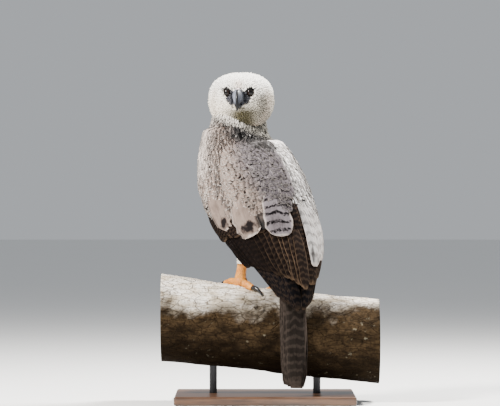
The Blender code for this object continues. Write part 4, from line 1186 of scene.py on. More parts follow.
def coat_crest(look):
    """The long double crest, laid back from the rear of the crown."""
    coat = Coat("crest")
    for row, (count, spread, lift, reach) in enumerate(CREST_ROWS):
        share = (np.arange(count) + 0.5) / count * 2 - 1 + 0.03 * normal_random(count)
        angle = np.radians(share * spread / 2)
        root = in_head(stacked(-0.038 - 0.020 * row, share * 0.050, lift + 0.004 - 0.010 * share ** 2))
        heading = unit(stacked(-np.cos(angle), np.sin(angle), -(0.62 + 0.28 * row))) @ HEAD_AXES
        normal = unit(np.array((-0.35, 0.19, 0.98))) @ HEAD_AXES
        normal = unit(normal - heading * dot(heading, normal)[:, None])
        length = CREST_LENGTH * reach * (1 - 0.15 * share ** 2) * uneven(0.06, count)
        v = BIG[1][None, :, None]
        paths = root[:, None] + heading[:, None] * length[:, None, None] * v
        paths = paths - normal[:, None] * CREST_DROOP * v ** 2
        tone = varied(mixed(CREAM, BREAST, 0.5), 0.06, count)
        root_uv = stacked(0.5 + 0.4 * share, 0.3 + 0.4 * row)
        path_feathers(coat, BIG, "long", paths, np.broadcast_to(normal[:, None], paths.shape),
                      np.full(count, CREST_HALF_WIDTH), tone, (0.75, 0.0, 0.7), root_uv, arch=0.12, roll=0.0)
    coat.finish(look)


# Wings and back

# The broad shoulder feathers that end the pale back: root and tip (station, angle) and half width
SCAPULARS = (
    ((4.4, 12.0), (6.42, 17.0), 0.0450),
    ((4.2, 48.0), (6.14, 56.0), 0.0350),
    ((3.6, 74.0), (5.36, 83.0), 0.0330),
)
SCAPULAR_RISE = (-0.0040, 0.0020)


def bed_uv(side, s, theta):
    return stacked(0.5 + side * theta / 260.0, 0.03 + 0.94 * s / 10)


def add_tier(coat, side, count, roots, tips, half, heights, tone, pattern):
    """One tier of big feathers, from the bird's middle outwards. A tone or pattern that is a function takes
    the place in the tier, 0 to 1."""
    t = np.linspace(0, 1, count)
    tone, pattern = (value(t) if callable(value) else np.array(value) for value in (tone, pattern))
    root = np.array(roots[0]) + np.subtract(roots[1], roots[0]) * t[:, None]
    tip = np.array(tips[0]) + np.subtract(tips[1], tips[0]) * t[:, None]
    tip = tip + normal_random(count, 2) * (0.05, 0.6)
    low, first, last = heights
    rise = stacked(low, first + (last - first) * t) + 0.0002 * normal_random(count, 2)
    width = half * uneven(0.06, count)
    bed_feathers(coat, side, root, tip, width, rise, 6.0, varied(tone, 0.06, count), pattern,
                 bed_uv(side, root[:, 0], root[:, 1]))


def graded_tone(t):
    """Brown beside the back, darker outwards."""
    return mixed(FLIGHT_BROWN, FLIGHT * 0.85, smooth(t, 0.0, 0.5))


def graded_pattern(t):
    dark = smooth(t, 0.15, 0.6)
    return stacked(0.0, 0.17 - 0.14 * dark, 0.55 - 0.50 * dark)


# Tiers of dark quills by side: count, first and last root, first and last tip (station, angle), half width,
# heights at the root, at the first tip and at the last, tone and pattern
FLIGHT_TIERS = {
    1: (
        (10, ((5.6, 46.0), (5.2, 92.0)), ((9.45, 4.0), (8.85, 52.0)), 0.0185, (0.0020, 0.0040, 0.0042),
         BLUE_BLACK, (0.0, 0.10, 0.10)),
        (15, ((5.4, -4.0), (4.6, 101.0)), ((8.6, -15.0), (7.1, 87.0)), 0.0225, (0.0030, 0.0095, 0.0085),
         graded_tone, graded_pattern),
        (11, ((4.4, 34.0), (3.7, 107.0)), ((6.1, 40.0), (5.5, 96.0)), 0.0220, (0.0055, 0.0120, 0.0145),
         FLIGHT, (0.0, 0.15, 0.25)),
        (5, ((4.0, -9.0), (4.4, 8.0)), ((7.0, -19.0), (7.2, 2.0)), 0.0190, (0.0010, 0.0035, 0.0040),
         FLIGHT, (0.0, 0.15, 0.40)),
    ),
    -1: (
        (10, ((5.6, 48.0), (5.2, 92.0)), ((9.45, 12.0), (8.85, 58.0)), 0.0185, (0.0012, 0.0018, 0.0022),
         BLUE_BLACK, (0.0, 0.15, 0.15)),
        (6, ((4.6, 9.0), (5.0, 34.0)), ((7.0, 14.0), (7.7, 37.0)), 0.0200, (0.0008, 0.0016, 0.0024),
         FLIGHT, (0.0, 0.25, 0.20)),
        (12, ((5.3, 30.0), (4.6, 97.0)), ((8.4, 34.0), (7.1, 85.0)), 0.0230, (0.0028, 0.0054, 0.0080),
         FLIGHT_BROWN, (0.0, 0.18, 0.50)),
    ),
}
RIGHT_COVERTS = (20, ((5.0, 21.0), (4.4, 101.0)), ((7.65, 38.0), (6.5, 89.0)), 0.0150,
                 (0.0030, 0.0085, 0.0110), WING_WHITE * 0.5, (0.7, 0.55, 0.7))


def coat_flight(side, word, look):
    """The big dark quills of one wing."""
    coat = Coat("flight_feathers_" + word)
    for tier in FLIGHT_TIERS[side]:
        add_tier(coat, side, *tier)
    coat.finish(look, "wing_" + word)


def right_tone(theta_share):
    """White outside, with a dark inner edge beside the back."""
    return mixed(FLIGHT_BROWN, WING_WHITE, smooth(theta_share, -0.06, 0.0))


def small_size(s):
    return 0.0048 + 0.0034 * smooth(s, 0.4, 3.8)


# The small feathers of wings and back: how deep their roots lie under the coat's surface, and their rise
BED_ROOT_DEPTH = 0.0045
BED_TIP_RISE = 0.0042


def bed_step(s):
    return 0.95 * small_size(s) / metres_per_station(WING_BED, s)


def bed_spacing(s):
    return 1.15 * small_size(s) / (at_station(WING_BED[:, 3], s) * math.radians(1.0))


def small_on_bed(coat, side, first, last, ends_at, tone_at, pattern_at):
    """Staggered rows of small soft feathers over a wing or the back, larger further down."""
    s, theta = brick_rows(first, last, bed_step, ends_at, bed_spacing)
    count = len(s)
    s, theta = s + 0.07 * normal_random(count), theta + 1.2 * normal_random(count)
    half = small_size(s) * uneven(0.15, count) * (1 + 0.40 * smooth(theta, 50, 85))
    v = SMALL[1][None]
    reach = half * 3.4 * uneven(0.15, count) / metres_per_station(WING_BED, s)
    path_s = s[:, None] + v * reach[:, None]
    path_theta = theta[:, None] + v * 3.0 * normal_random(count, 1)
    lift = BED_TIP_RISE + 0.0004 * normal_random(count, 1)
    height = coat_height(side, path_s, path_theta) - BED_ROOT_DEPTH + lift * v ** 0.7
    paths, normals = on_bed(side, path_s, path_theta, height)
    tone = varied(tone_at(s, theta, paths[:, 2]), 0.07, count)
    path_feathers(coat, SMALL, "small", paths, normals, half, tone, pattern_at(s, theta, paths[:, 2]),
                  bed_uv(side, s, theta), arch=0.06, thick=0.0004, roll=0.08)


def back_pattern(s, theta, p):
    """Small dark spots, thicker down the back, and soft pale fringes on the left."""
    chance = RANDOM.random(s.shape)
    spotted = 1.0 * (chance < 0.10 + 0.08 * smooth(s, 1.0, 4.5))
    cross = 0.6 * smooth(s, 3.6, 4.6) * smooth(theta, 26, 12)
    fringe = 0.22 + 0.40 * smooth(theta, 28, 60)
    band = collar_share(p)
    return stacked(spotted * (1 - band), cross, fringe * (1 - 0.6 * band))


def coat_back(look, broad_look):
    """Mantle and left shoulder: many small feathers above the broad scapulars."""
    broad = Coat("scapulars")
    for root, tip, half in SCAPULARS:
        root, tip = np.array([root]), np.array([tip]) + normal_random(1, 2) * (0.03, 0.8)
        rise = np.array([SCAPULAR_RISE])
        grey = smooth(tip[:, 1], 46, 30)
        # BEIGE and MANTLE carry painted shade in part
        tone = varied(mixed(BEIGE * 0.80, MANTLE * 1.35, grey), 0.05, 1)
        pattern = stacked(1.0 - grey, grey, 0.55)
        bed_feathers(broad, 1, root, tip, np.array([half]), rise, 5.0, tone, pattern,
                     bed_uv(1, root[:, 0], root[:, 1]), coat_height, "lobe")
    broad.finish(broad_look)
    coat = Coat("back_feathers")

    def tone(s, theta, p):
        patch = smooth(s, 3.1, 3.6) * smooth(theta, 82, 92) * (RANDOM.random(s.shape) < 0.65)
        return mixed(speckled(coat_tone(s, theta, p), p), FLIGHT * 2.5, patch)

    small_on_bed(coat, 1, 0.0, 5.0, lambda s: (back_start(s), left_end(s) + 3), tone, back_pattern)
    coat.finish(look, "mantle")


def coat_right_wing(look, broad_look):
    """A tier of long pale coverts, and the small feathers over it up to the shoulder."""
    long_ones = Coat("greater_coverts_right")
    add_tier(long_ones, -1, *RIGHT_COVERTS)
    long_ones.finish(broad_look)
    coat = Coat("coverts_right")

    def tone(s, theta, _):
        start, end = core_edges(-1, s)
        return right_tone((theta - start + 4) / (end - start))

    def pattern(s, *_):
        spots = 0.9 * (RANDOM.random(s.shape) < 0.07 + 0.30 * smooth(s, 2.5, 6.0))
        return stacked(spots, 0.0, 0.4)

    small_on_bed(coat, -1, 1.3, 6.5, lambda s: (right_start(s) - 2, right_end(s) + 3), tone, pattern)
    coat.finish(look)


# Tail

TAIL_FEATHERS = 12
TAIL_HALF_WIDTH = 0.030
TAIL_FAN = 0.0150
TAIL_LAYER = 0.0015
TAIL_ARCH = 2.0
# Stations of the feathers' roots and of the longest pair's tips, and how much shorter each pair is
TAIL_ROOT = 0.9
TAIL_TIP = 5.955
TAIL_PAIR_STEP = 0.030


def tail_feathers(look):
    """Flight feathers of the tail, each pair under the last."""
    coat = Coat("tail_feathers")
    k = np.arange(TAIL_FEATHERS)
    side, pair = np.where(k % 2 == 0, 1, -1)[:, None], (k // 2)[:, None]
    across, v = BIG[0][None, None], BIG[1][None]
    tip = TAIL_TIP - TAIL_PAIR_STEP * pair + 0.03 * normal_random(TAIL_FEATHERS, 1)
    s = TAIL_ROOT + (tip - TAIL_ROOT) * v
    centre, left, dorsal = tail_axes(s)
    fan = side * TAIL_FAN * (pair + 0.35) / 5 * (0.45 + 0.75 * v - 0.30 * v ** 3)
    depth = (5.5 - k[:, None]) * TAIL_LAYER * (0.75 + 0.25 * v)
    width = TAIL_HALF_WIDTH * outline(v, 0.50, 0.35, 0.66) * (1 - 0.10 * v ** 2)
    waver = uneven(0.04, *s.shape, 1)
    place = fan[..., None] + across * width[..., None] * waver
    height = depth[..., None] - TAIL_ARCH * place ** 2 + 0.0005 * bell(across, SHAFT_SHARE)
    outer = centre[:, :, None] + left[:, :, None] * place[..., None] + dorsal[:, :, None] * height[..., None]
    tone = varied(mixed(TAIL_GREY, TAIL_DARK, k % 2), 0.05, TAIL_FEATHERS)
    pattern = stacked(0.0, np.where(k % 2 == 0, 0.20, 0.10), np.where(k % 2 == 0, 0.20, 0.45))
    root_uv = stacked(0.5 + 0.035 * (k - 5.5), 0.4)
    coat.add(BIG, outer[:, :, ::-1], 0.0007, dorsal, tone, pattern, root_uv)
    coat.finish(look, "tail")


TAIL_COVERT_ROWS = 8
TAIL_COVERTS_ACROSS = 9
TAIL_COVERT_HALF_WIDTH = 0.010


def tail_coverts(look):
    """Short feathers over and under the tail's root."""
    coat = Coat("tail_coverts")
    count = TAIL_COVERTS_ACROSS
    for face, colour in ((1, FLIGHT), (-1, BELLY)):
        for row, s0 in enumerate(np.linspace(0.4, 2.2, TAIL_COVERT_ROWS)):
            place = np.linspace(-0.026, 0.026, count) * (1 - 0.05 * row) + 0.001 * normal_random(count)
            s = s0 + 0.95 * MEDIUM[1][None] + 0 * place[:, None]
            centre, left, dorsal = tail_axes(s)
            depth = (0.012 - 0.0014 * row) - 9.0 * place[:, None] ** 2 + 0.002 * MEDIUM[1][None]
            paths = centre + left * place[:, None, None] + dorsal * (face * depth)[..., None]
            root_uv = stacked(0.5 + place * 8, 0.5 + face * (0.1 + 0.05 * row))
            path_feathers(coat, MEDIUM, "round", paths, dorsal * face, np.full(count, TAIL_COVERT_HALF_WIDTH),
                          varied(colour, 0.08, count), (0.0, 0.2, 0.2), root_uv)
    coat.finish(look)


# Eyes, lids and bill

EYE_INSET = 0.004
# How far the lids leave the ball open at the corners, above and below, as sines from its middle
LID_OPENING = (0.96, 0.66, 0.84)
LID_TILT = 12.0
LID_OUTER_ANGLE = 1.46
LID_THICKNESS = 0.0013
UPPER_LID_BULGE = 0.0012
LID_SIDES = 56
LID_SECTION = 14


def eye_centre(side):
    return in_head((EYE_FORWARD - EYE_INSET, side * EYE_SIDE, EYE_UP))


def eye_axis(side):
    a = math.radians(EYE_SPLAY)
    return unit(np.array((math.cos(a), side * math.sin(a), 0.0))) @ HEAD_AXES


def eye_look(side, name):
    """Dark brown iris round a black pupil under a wet, clear coat."""
    n = Nodes(name, 0.6, Coat_Weight=0.4, Coat_Roughness=0.03, Specular_IOR_Level=0.05)
    facing = n.distance_along(eye_centre(side), eye_axis(side) / EYE_RADIUS)
    iris = n.mix(n.noise(n.position(), 900.0), srgb(16, 8, 5), srgb(34, 18, 12))
    colour = n.mix(n.step(facing, 0.80, 0.84), iris, srgb(5, 4, 4))
    return n.finished(n.mix(n.step(facing, 0.62, 0.54), colour, srgb(12, 10, 10)))


def make_eyes(lid_look):
    """A ball in each socket, with thick lids that leave an almond opening under a flat upper edge."""
    for side, name in ((-1, "eye_right"), (1, "eye_left")):
        dress(sphere(name + "_ball", eye_centre(side), EYE_RADIUS), eye_look(side, name + "_look"), name)
        axis = eye_axis(side)
        outward = side * unit(np.cross(HEAD_AXES[2], axis))
        rise = np.cross(outward, axis) * -side
        tilt = math.radians(LID_TILT)
        corner = math.cos(tilt) * outward + math.sin(tilt) * rise
        lift = math.cos(tilt) * rise - math.sin(tilt) * outward
        turn = full_turn(LID_SIDES)
        up, down = np.maximum(0, np.sin(turn)) ** 2, np.maximum(0, -np.sin(turn)) ** 2
        wide, top, low = LID_OPENING
        opening = np.arcsin(wide * np.cos(turn) ** 2 + top * up + low * down)
        out = np.cos(turn)[:, None] * corner + np.sin(turn)[:, None] * lift

        def on_ball(angle, radius):
            return eye_centre(side) + radius * (np.cos(angle)[:, None] * axis + np.sin(angle)[:, None] * out)

        inner = on_ball(opening, EYE_RADIUS * 1.05)
        outer = on_ball(0 * opening + LID_OUTER_ANGLE, EYE_RADIUS * 1.34)
        middle, reach = (inner + outer) / 2, (outer - inner) / 2
        thick = (LID_THICKNESS + UPPER_LID_BULGE * up)[:, None] * unit(np.cross(np.cross(reach, axis), reach))
        b = full_turn(LID_SECTION)
        points = (middle[:, None] + np.cos(b)[None, :, None] * reach[:, None]
                  + np.sin(b)[None, :, None] * thick[:, None])
        lids = mesh_object(name + "_lids", points.reshape(-1, 3), ring_faces(LID_SIDES, LID_SECTION, True))
        dress(lids, lid_look)


# Culmen point and cutting-edge point (forward, up) and half width, from the face to the tip
UPPER_BILL = np.array([
    (0.040, 0.0345, 0.038, -0.0060, 0.0175),
    (0.058, 0.0360, 0.056, -0.0065, 0.0170),
    (0.073, 0.0345, 0.069, -0.0075, 0.0150),
    (0.086, 0.0285, 0.079, -0.0085, 0.0130),
    (0.0960, 0.0170, 0.085, -0.0085, 0.0104),
    (0.1010, 0.0025, 0.088, -0.0115, 0.0078),
    (0.1010, -0.0125, 0.0905, -0.0180, 0.0050),
    (0.0970, -0.0265, 0.0935, -0.0270, 0.0016),
])
LOWER_BILL = np.array([
    (0.040, -0.0068, 0.040, -0.0200, 0.0140),
    (0.056, -0.0073, 0.056, -0.0200, 0.0130),
    (0.070, -0.0083, 0.069, -0.0195, 0.0105),
    (0.080, -0.0093, 0.079, -0.0175, 0.0070),
    (0.0845, -0.0110, 0.0840, -0.0145, 0.0025),
])
CERE_ENDS_AT = 2.0
NOSTRIL = (0.0665, 0.0170, 0.0130)
NOSTRIL_RADIUS = 0.0030
LIP_LINE = ((0.0500, 0.012, -0.0065), (0.0585, 0.021, -0.0070), (0.0560, 0.028, -0.0060),
            (0.0500, 0.034, -0.0030))
LIP_RADII = (0.0026, 0.0030, 0.0030, 0.0028, 0.0024, 0.0014)


def bill_rings(stations, first, last, count, sides, grow=0.0, keel=0.0):
    """Rings across the bill. keel narrows it towards its upper ridge."""
    rows = along(stations, np.linspace(first, last, count))
    top, edge, half = rows[:, 0:2], rows[:, 2:4], rows[:, 4]
    middle, reach = (top + edge) / 2, (top - edge) / 2
    length = np.linalg.norm(reach, axis=-1, keepdims=True)
    turn = full_turn(sides)
    fu = middle[:, None] + (reach / length)[:, None] * (length + grow)[:, None] * np.cos(turn)[None, :, None]
    narrow = 1 - keel * np.maximum(0, np.cos(turn)) ** 2
    l = (half + grow)[:, None] * np.sin(turn)[None] * narrow[None]
    return in_head(stacked(fu[..., 0], l, fu[..., 1]))


def horn_look(name, dark, pale, roughness=0.3, coat=0.4):
    n = Nodes(name, roughness, Coat_Weight=coat, Coat_Roughness=0.15, Specular_IOR_Level=0.15)
    cloud = n.noise(n.stretched(n.position(), (1.0, 1.0, 0.35)), 160.0, 4.0)
    return n.finished(n.mix(n.step(cloud, 0.35, 0.75), srgb(*dark), srgb(*pale)), cloud, 0.12, 0.0004)


def bill_look(name, flank, ridge, ridge_from):
    """Horn or cere whose flanks are paler or darker than its upper ridge and its tip. The flank on the bird's
    left is darkened as painted shade.
    """
    n = Nodes(name, 0.5, Coat_Weight=0.12, Coat_Roughness=0.2, Specular_IOR_Level=0.2)
    across = n.distance_along(HEAD_CENTRE, HEAD_AXES[1])
    side = n.math("ABSOLUTE", across)
    height = n.distance_along(HEAD_CENTRE, HEAD_AXES[2])
    cloud = n.noise(n.stretched(n.position(), (1.0, 1.0, 0.3)), 130.0, 4.0)
    share = n.math("MAXIMUM", n.step(side, 0.0055, 0.0025), n.step(height, ridge_from, ridge_from - 0.016))
    # Painted shade: the flank on the bird's left is darkened to 0.4
    flank = n.mix(n.step(across, 0.0, 0.006), flank, flank * 0.4)
    colour = n.darker(n.mix(share, flank, ridge), n.step(cloud, 0.45, 0.75, 0.0, 0.35))
    return n.finished(colour, cloud, 0.12, 0.0004)


def make_bill():
    """Cere with nostrils, hooked upper bill, lower bill and the fleshy lips behind them."""
    # The cere's pale pink ridge is a painted highlight along its top
    cere_skin = bill_look("cere_look", srgb(92, 95, 105), srgb(206, 194, 194), -0.02)
    # The horn's pale flank is its slate colour lightened in part as painted light; its dark ridge and tip are
    # its own colour
    horn = bill_look("bill_horn", srgb(104, 108, 120), srgb(12, 12, 15), 0.006)
    cere = loft("cere_skin", bill_rings(UPPER_BILL, 0.25, CERE_ENDS_AT, 14, 40, 0.0008, 0.14))
    upper = loft("bill_upper_horn", bill_rings(UPPER_BILL, CERE_ENDS_AT - 0.15, 7.0, 34, 40, 0.0, 0.30))
    lower = loft("bill_lower_horn", bill_rings(LOWER_BILL, 0.3, 4.0, 18, 32))
    for side in (-1, 1):
        hole = sphere("nostril", in_head(np.multiply(NOSTRIL, (1, side, 1))), NOSTRIL_RADIUS, 16, 10)
        cut = cere.modifiers.new("nostril", "BOOLEAN")
        cut.operation = "DIFFERENCE"
        cut.object = hole
        cut.solver = "EXACT"
        bake(cere)
        bpy.data.objects.remove(hole, do_unlink=True)
    dress(cere, cere_skin, "cere")
    dress(upper, horn, "bill_upper")
    dress(lower, horn_look("bill_underside", (30, 32, 37), (62, 66, 74)), "bill_lower")
    for side, name in ((-1, "lip_right"), (1, "lip_left")):
        path = in_head(along(LIP_LINE, np.linspace(0, 3, 20)) * (1, side, 1))
        radii = spread_over(np.linspace(0, 1, 20), LIP_RADII)
        dress(loft(name, tube_rings(path, radii, 14)), horn_look(name + "_look", (44, 46, 52), (84, 88, 96)))


# Legs and claws

FEET = {1: (0.171, 0.0573), -1: (0.140, -0.072)}
ANKLES = {1: (0.145, 0.063, 0.424), -1: (0.127, -0.063, 0.424)}
TARSUS_RADIUS = 0.0145
TARSUS_PROFILE = (1.14, 1.02, 0.96, 0.98, 1.06, 1.10)
PALM_RADIUS = 0.021
PALM_LIFT = 0.012
TOE_RADIUS = 0.0115
TOE_SIDES = 28
TOE_PROFILE = (1.10, 1.08, 0.98, 1.02, 0.90, 0.84)
TOE_SINK = 0.0020
FOOT_VOXEL = 0.0012
SCUTE_LENGTH = 0.0065
TARSUS_PLATES = 9
# Name, turn from straight ahead in degrees, length, and length of the claw
TOES = (("inner", -30.0, 0.060, 0.046), ("middle", 0.0, 0.082, 0.040), ("outer", 26.0, 0.066, 0.034),
        ("hind", 210.0, 0.050, 0.058))
FOOT_TURNS = {1: -18.0, -1: -6.0}
CLAW_RADII = (0.0076, 0.0071, 0.0062, 0.0051, 0.0038, 0.0023, 0.0006)
CLAW_BENDS = ((-0.09, 0.02), (0.30, 0.10), (0.62, 0.00), (0.80, -0.21))


def bough_centre(x):
    return stacked(x, 0.0, BOUGH_HEIGHT + BOUGH_SLOPE * x + BOUGH_BEND * x * x)


def bough_radius(x, angle):
    swell = 0.0020 * np.sin(9.0 * x + 0.6) + 0.0010 * np.sin(23.0 * x + 2.0 * angle)
    lobes = 0.0010 * np.sin(3.0 * angle + 5.0 * x) + 0.0006 * np.sin(5.0 * angle - 14.0 * x)
    return BOUGH_RADIUS + np.where(x < 0, 0.105, 0.010) * x * x + swell + lobes


def bough_walk(x, angle, lift):
    """Points lift above the bough's bark, angle round from its top."""
    out = stacked(0.0, np.sin(angle), np.cos(angle))
    return bough_centre(x) + np.asarray(bough_radius(x, angle) + lift)[..., None] * out


def leg_skin_look():
    """Yellow-orange scaled skin, its plates with darker seams."""
    n = Nodes("leg_skin", 0.5, Subsurface_Weight=0.08, Subsurface_Scale=0.01)
    rim = n.cells(n.stretched(n.position(), (1.0, 1.0, 0.75)), 260.0, "DISTANCE_TO_EDGE")
    cloud = n.noise(n.position(), 45.0, 3.0)
    base = n.mix(n.step(cloud, 0.35, 0.7), srgb(192, 116, 24), srgb(222, 150, 50))
    seamed = n.mix(n.step(rim, 0.10, 0.0), base, srgb(140, 90, 42))
    return n.finished(seamed, n.step(rim, 0.0, 0.14), 0.6, 0.0008)


def make_toe(base, yaw, length, claw_length):
    """A toe along the bough's bark and the claw at its end."""
    a = math.radians(BODY_YAW + yaw)
    share = np.linspace(0, 1, 44)
    x = base[0] - math.sin(a) * length * share
    walk = (base[1] + math.cos(a) * length * share) / BOUGH_RADIUS
    size = TOE_RADIUS * spread_over(share, TOE_PROFILE)
    line = bough_walk(x, walk, size - TOE_SINK)
    upper = np.clip(np.sin(full_turn(TOE_SIDES)), 0, 1)[None]
    scutes = 0.045 * np.abs(np.sin(share * length / SCUTE_LENGTH * math.pi))[:, None] ** 0.6
    pads = 0.035 * np.sin(share * math.pi * 3)[:, None] ** 2
    toe = loft("toe", tube_rings(line, 0.985 * size[:, None] * (1 + scutes * upper + pads * (1 - upper)),
                                 TOE_SIDES))
    heading, out = unit(line[-1] - line[-10]), unit(line[-1] - bough_centre(line[-1, 0]))
    controls = [line[-1] + claw_length * (heading * ahead + out * lift) for ahead, lift in CLAW_BENDS]
    radii = spread_over(np.linspace(0, 1, 26), CLAW_RADII)
    return toe, loft("claw", tube_rings(along(controls, np.linspace(0, 3, 26)), radii, 22))


def make_leg(side, word, leg_skin, claw_horn):
    """A tarsus with plates, a foot whose toes follow the bark, and its claws."""
    base = world(*FEET[side], 0.0)
    angle = math.asin(float(base[1]) / BOUGH_RADIUS)
    low, high = bough_walk(base[0], angle, 2 * TOE_RADIUS), world(*ANKLES[side])
    share = np.linspace(0, 1, 60)
    plates = 1 + 0.030 * np.abs(np.sin(share * math.pi * TARSUS_PLATES))[:, None] ** 0.5
    radius = TARSUS_RADIUS * spread_over(share, TARSUS_PROFILE)[:, None] * plates
    shank = loft("tarsus_" + word + "_skin", tube_rings(low + (high - low) * share[:, None], radius, 40))
    dress(shank, leg_skin, "tarsus_" + word)
    forms = [sphere("palm", bough_walk(base[0], angle, PALM_LIFT), PALM_RADIUS, 32, 20)]
    for toe, yaw, length, claw_length in TOES:
        form, claw = make_toe(base, FOOT_TURNS[side] + side * yaw, length, claw_length)
        forms.append(form)
        claw.name = f"claw_{toe}_{word}_horn"
        dress(claw, claw_horn, f"claw_{toe}_{word}")
    dress(merged("foot_" + word + "_skin", forms, FOOT_VOXEL, 2), leg_skin, "foot_" + word)


# Bough and stand

# The knot's place along the bough and round it, in radians from the top
KNOT = (-0.020, -1.02)
# How often each kind of furrow repeats, and its depth
FURROWS = ((5, 0.0010), (11, 0.0008), (23, 0.0006))
WAVES_EACH = 6
KNOBS = 14
BOUGH_RINGS = 220
BOUGH_SIDES = 280


def over_middle(x, height):
    """How high a point of a material lies over the bough's own middle line."""
    return height + x * -BOUGH_SLOPE - BOUGH_HEIGHT


def bark_look():
    """Bark painted pale on top as if sunlit, with lichen, and dark brown and cracked below, darkest
    underneath as painted shade.
    """
    n = Nodes("bark", 0.9, Specular_IOR_Level=0.03)
    place = n.position()
    x, _, height = n.parts(place)
    grain = n.noise(n.stretched(place, (1.0, 2.2, 2.2)), 18.0, 8.0, 0.65)
    patch = n.noise(place, 9.0, 6.0, 0.62)
    fine = n.noise(place, 120.0, 5.0, 0.7)
    brown = n.mix(n.step(grain, 0.3, 0.7), srgb(27, 20, 12), srgb(62, 49, 33))
    brown = n.mix(n.step(fine, 0.42, 0.62, 0.0, 0.6), brown, srgb(20, 14, 8))
    pale = n.mix(n.step(grain, 0.35, 0.65), srgb(204, 190, 168), srgb(244, 238, 228))
    pale = n.mix(n.step(fine, 0.50, 0.64, 0.0, 0.75), pale, srgb(112, 94, 72))
    level = over_middle(x, height)
    # Painted light: the top of the bough is pale as where sunlight falls, the rest brown
    base = n.mix(n.step(level + (patch - 0.5) * 0.20 + x * -0.10, 0.035, 0.140), brown, pale)
    # Painted shade: the underside is darkened towards black
    under = n.step(level + (grain - 0.5) * 0.08, 0.0, -0.09)
    base = n.mix(under * 0.75, base, srgb(16, 11, 6))
    spot = n.cells(n.stretched(place, (1.0, 1.0, 0.8)), 70.0)
    base = n.darker(base, n.step(spot + fine * 0.5, 0.46, 0.34, 0.0, 0.8))
    lichen = n.step(n.noise(place, 55.0, 3.0, 0.6), 0.64, 0.74, 0.0, 0.30)
    base = n.mix(lichen, base, srgb(150, 144, 124))
    crack = n.cells(n.stretched(place, (1.0, 2.6, 2.6)), 22.0, "DISTANCE_TO_EDGE")
    base = n.mix(n.step(crack, 0.035, 0.0, 0.0, 0.6), base, srgb(30, 22, 14))
    return n.finished(base, fine * 0.7 + grain + n.step(crack, 0.0, 0.05, 0.0, 0.6), 1.0, 0.0035)


def end_grain_look():
    """Sawn wood with rings."""
    n = Nodes("sawn_end", 0.75)
    x, y, z = n.parts(n.position())
    level = over_middle(x, z)
    away = n.math("SQRT", y * y + level * level)
    rings = n.math("SINE", away * 1100.0 + n.noise(n.position(), 14.0, 3.0) * 16.0)
    wood = n.mix(n.step(rings, -0.2, 0.9), srgb(196, 164, 118), srgb(158, 122, 80))
    wood = n.mix(n.step(away, 0.108, 0.116), wood, srgb(72, 54, 36))
    stained = n.step(n.noise(n.position(), 220.0, 3.0), 0.5, 0.7, 0.0, 0.35)
    return n.finished(n.darker(wood, stained), rings, 0.25, 0.0006)


def bark_relief(x, angle):
    """Knobs, furrows and one knot, kept near the surface that the toes rest on."""
    relief = 0 * x
    for count, size in FURROWS:
        for _ in range(WAVES_EACH):
            across, turns = RANDOM.uniform(-1, 1) * count * 6, int(RANDOM.integers(1, count + 2))
            relief = relief + size * np.sin(across * x + turns * angle + RANDOM.uniform(0, 6.28)) / 2
    relief = np.clip(relief, -0.003, 0.0016)
    for _ in range(KNOBS):
        cx, ca = RANDOM.uniform(-0.28, 0.30), RANDOM.uniform(2.2, 6.2)
        gap = wrapped(angle - ca, 2 * math.pi) * BOUGH_RADIUS
        relief = relief + 0.0040 * bell(x - cx, 0.011) * bell(gap, 0.009)
    gap = wrapped(angle - KNOT[1], 2 * math.pi)
    away = np.hypot((x - KNOT[0]) / 0.014, gap * BOUGH_RADIUS / 0.011)
    return relief + 0.0060 * np.exp(-(away - 1) ** 2 / 0.12) - 0.0050 * np.exp(-away ** 2 / 0.5)


def make_bough():
    """The cut bough in bark, with sawn wood on its two ends."""
    x, turn = together(np.linspace(BOUGH_LOW_X, BOUGH_HIGH_X, BOUGH_RINGS)[:, None], full_turn(BOUGH_SIDES))
    bough = loft("bough_bark", bough_walk(x, turn, bark_relief(x, turn)))
    dress(bough, bark_look(), "perch_bough")
    bough.data.materials.append(end_grain_look())
    for polygon in bough.data.polygons[len(bough.data.polygons) - 2 * BOUGH_SIDES:]:
        polygon.material_index = 1
        polygon.use_smooth = False


def stand_wood_look():
    """Dark oiled board with its grain along it."""
    n = Nodes("stand_wood", 0.38, Coat_Weight=0.3, Coat_Roughness=0.2)
    grain = n.noise(n.stretched(n.position(), (1.0, 14.0, 14.0)), 9.0, 6.0, 0.6)
    return n.finished(n.mix(n.step(grain, 0.3, 0.7), srgb(58, 38, 26), srgb(96, 66, 44)), grain, 0.15, 0.0004)


def stand_metal_look():
    """Brushed dark steel."""
    n = Nodes("stand_metal", 0.4, Metallic=0.9)
    brushed = n.noise(n.stretched(n.position(), (1.0, 1.0, 0.05)), 700.0)
    return n.finished(n.mix(brushed, srgb(46, 46, 48), srgb(66, 66, 68)))


def dress_stand(nodes):
    """The stand's solids are shown as they are, so they only get a material."""
    wood, metal = stand_wood_look(), stand_metal_look()
    for name, look in (("stand_base", wood), ("stand_rod_left", metal), ("stand_rod_right", metal)):
        nodes[name].data.materials.clear()
        nodes[name].data.materials.append(look)


# Studio

FLOOR_RADIUS = 40.0
FLOOR_SIDES = 96
FLOOR_LEVEL = -0.0005
LIGHTS_AIM = (0.0, 0.0, 0.6)
SKY_COLOUR = (0.88, 0.92, 0.97, 1.0)
SKY_STRENGTH = 0.50
SENSOR_WIDTH = 36.0


def make_floor():
    """A wide disc of pale paper just under the stand."""
    turn = full_turn(FLOOR_SIDES)
    rim = stacked(FLOOR_RADIUS * np.cos(turn), FLOOR_RADIUS * np.sin(turn), FLOOR_LEVEL)
    floor = mesh_object("studio_floor", rim, [range(FLOOR_SIDES)])
    n = Nodes("studio_paper", 0.9)
    cloud = n.step(n.noise(n.position(), 1.2), 0.3, 0.7, 0.0, 0.06)
    floor.data.materials.append(n.finished(n.mix(cloud, (0.82, 0.82, 0.81), (0.74, 0.74, 0.73))))


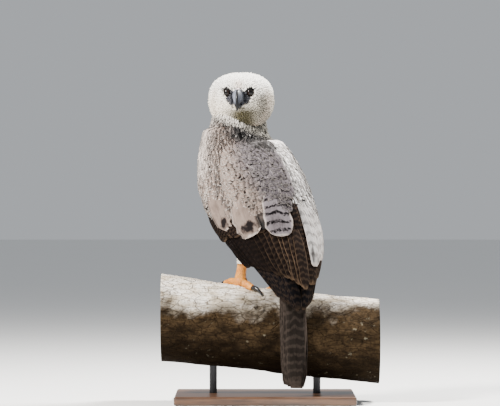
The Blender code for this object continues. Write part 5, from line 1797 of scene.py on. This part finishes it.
def aim(obj, place, target):
    obj.location = place
    obj.rotation_euler = (Vector(target) - Vector(place)).to_track_quat("-Z", "Y").to_euler()


def area_light(name, place, size, power, colour):
    data = bpy.data.lights.new(name, "AREA")
    data.shape = "DISK"
    data.size = size
    data.energy = power
    data.color = colour
    aim(placed(name, data), place, LIGHTS_AIM)


def make_lights():
    """A key light from the left and a rim light from behind, under an even pale sky."""
    area_light("key", (-2.2, -1.7, 2.7), 0.8, 430.0, (1.0, 0.96, 0.91))
    area_light("rim", (1.4, 1.0, 3.2), 0.8, 440.0, (1.0, 0.98, 0.95))
    air = bpy.data.worlds.new("studio_air")
    bpy.context.scene.world = air
    air.use_nodes = True
    background = air.node_tree.nodes["Background"]
    background.inputs["Color"].default_value = SKY_COLOUR
    background.inputs["Strength"].default_value = SKY_STRENGTH


def make_camera():
    """The photo's framing, square to the world's x and z axes."""
    data = bpy.data.cameras.new("camera")
    data.sensor_width = SENSOR_WIDTH
    data.lens = SENSOR_WIDTH * CAMERA_DISTANCE / (PHOTO_WIDTH * METRES_PER_PIXEL)
    data.clip_end = 100.0
    camera = placed("camera", data)
    x, z = FRAME_CENTRE
    aim(camera, (x, -CAMERA_DISTANCE, z), (x, 0.0, z))
    bpy.context.scene.camera = camera


def main():
    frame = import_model()
    looks = {name: plumage(name, *tones, **settings) for name, (tones, settings) in PLUMAGES.items()}
    make_skin()
    coat_trunk(looks["body"])
    for side, word in SIDES:
        coat_thigh(side, "coat_thigh_" + word, looks["body"])
    for side, word in SIDES:
        coat_flight(side, word, looks["flight"])
    coat_right_wing(looks["back"], looks["scapular"])
    coat_back(looks["back"], looks["scapular"])
    coat_head(looks["head"])
    coat_crest(looks["back"])
    tail_feathers(looks["tail"])
    tail_coverts(looks["flight"])
    make_eyes(horn_look("lid_look", (9, 8, 8), (16, 15, 15), 0.7, 0.0))
    make_bill()
    leg_skin = leg_skin_look()
    claw_horn = horn_look("claw_horn", (20, 20, 22), (44, 42, 42), 0.25, 0.6)
    for side, word in SIDES:
        make_leg(side, word, leg_skin, claw_horn)
    make_bough()
    dress_stand(frame["nodes"])
    make_floor()
    make_lights()
    make_camera()


main()
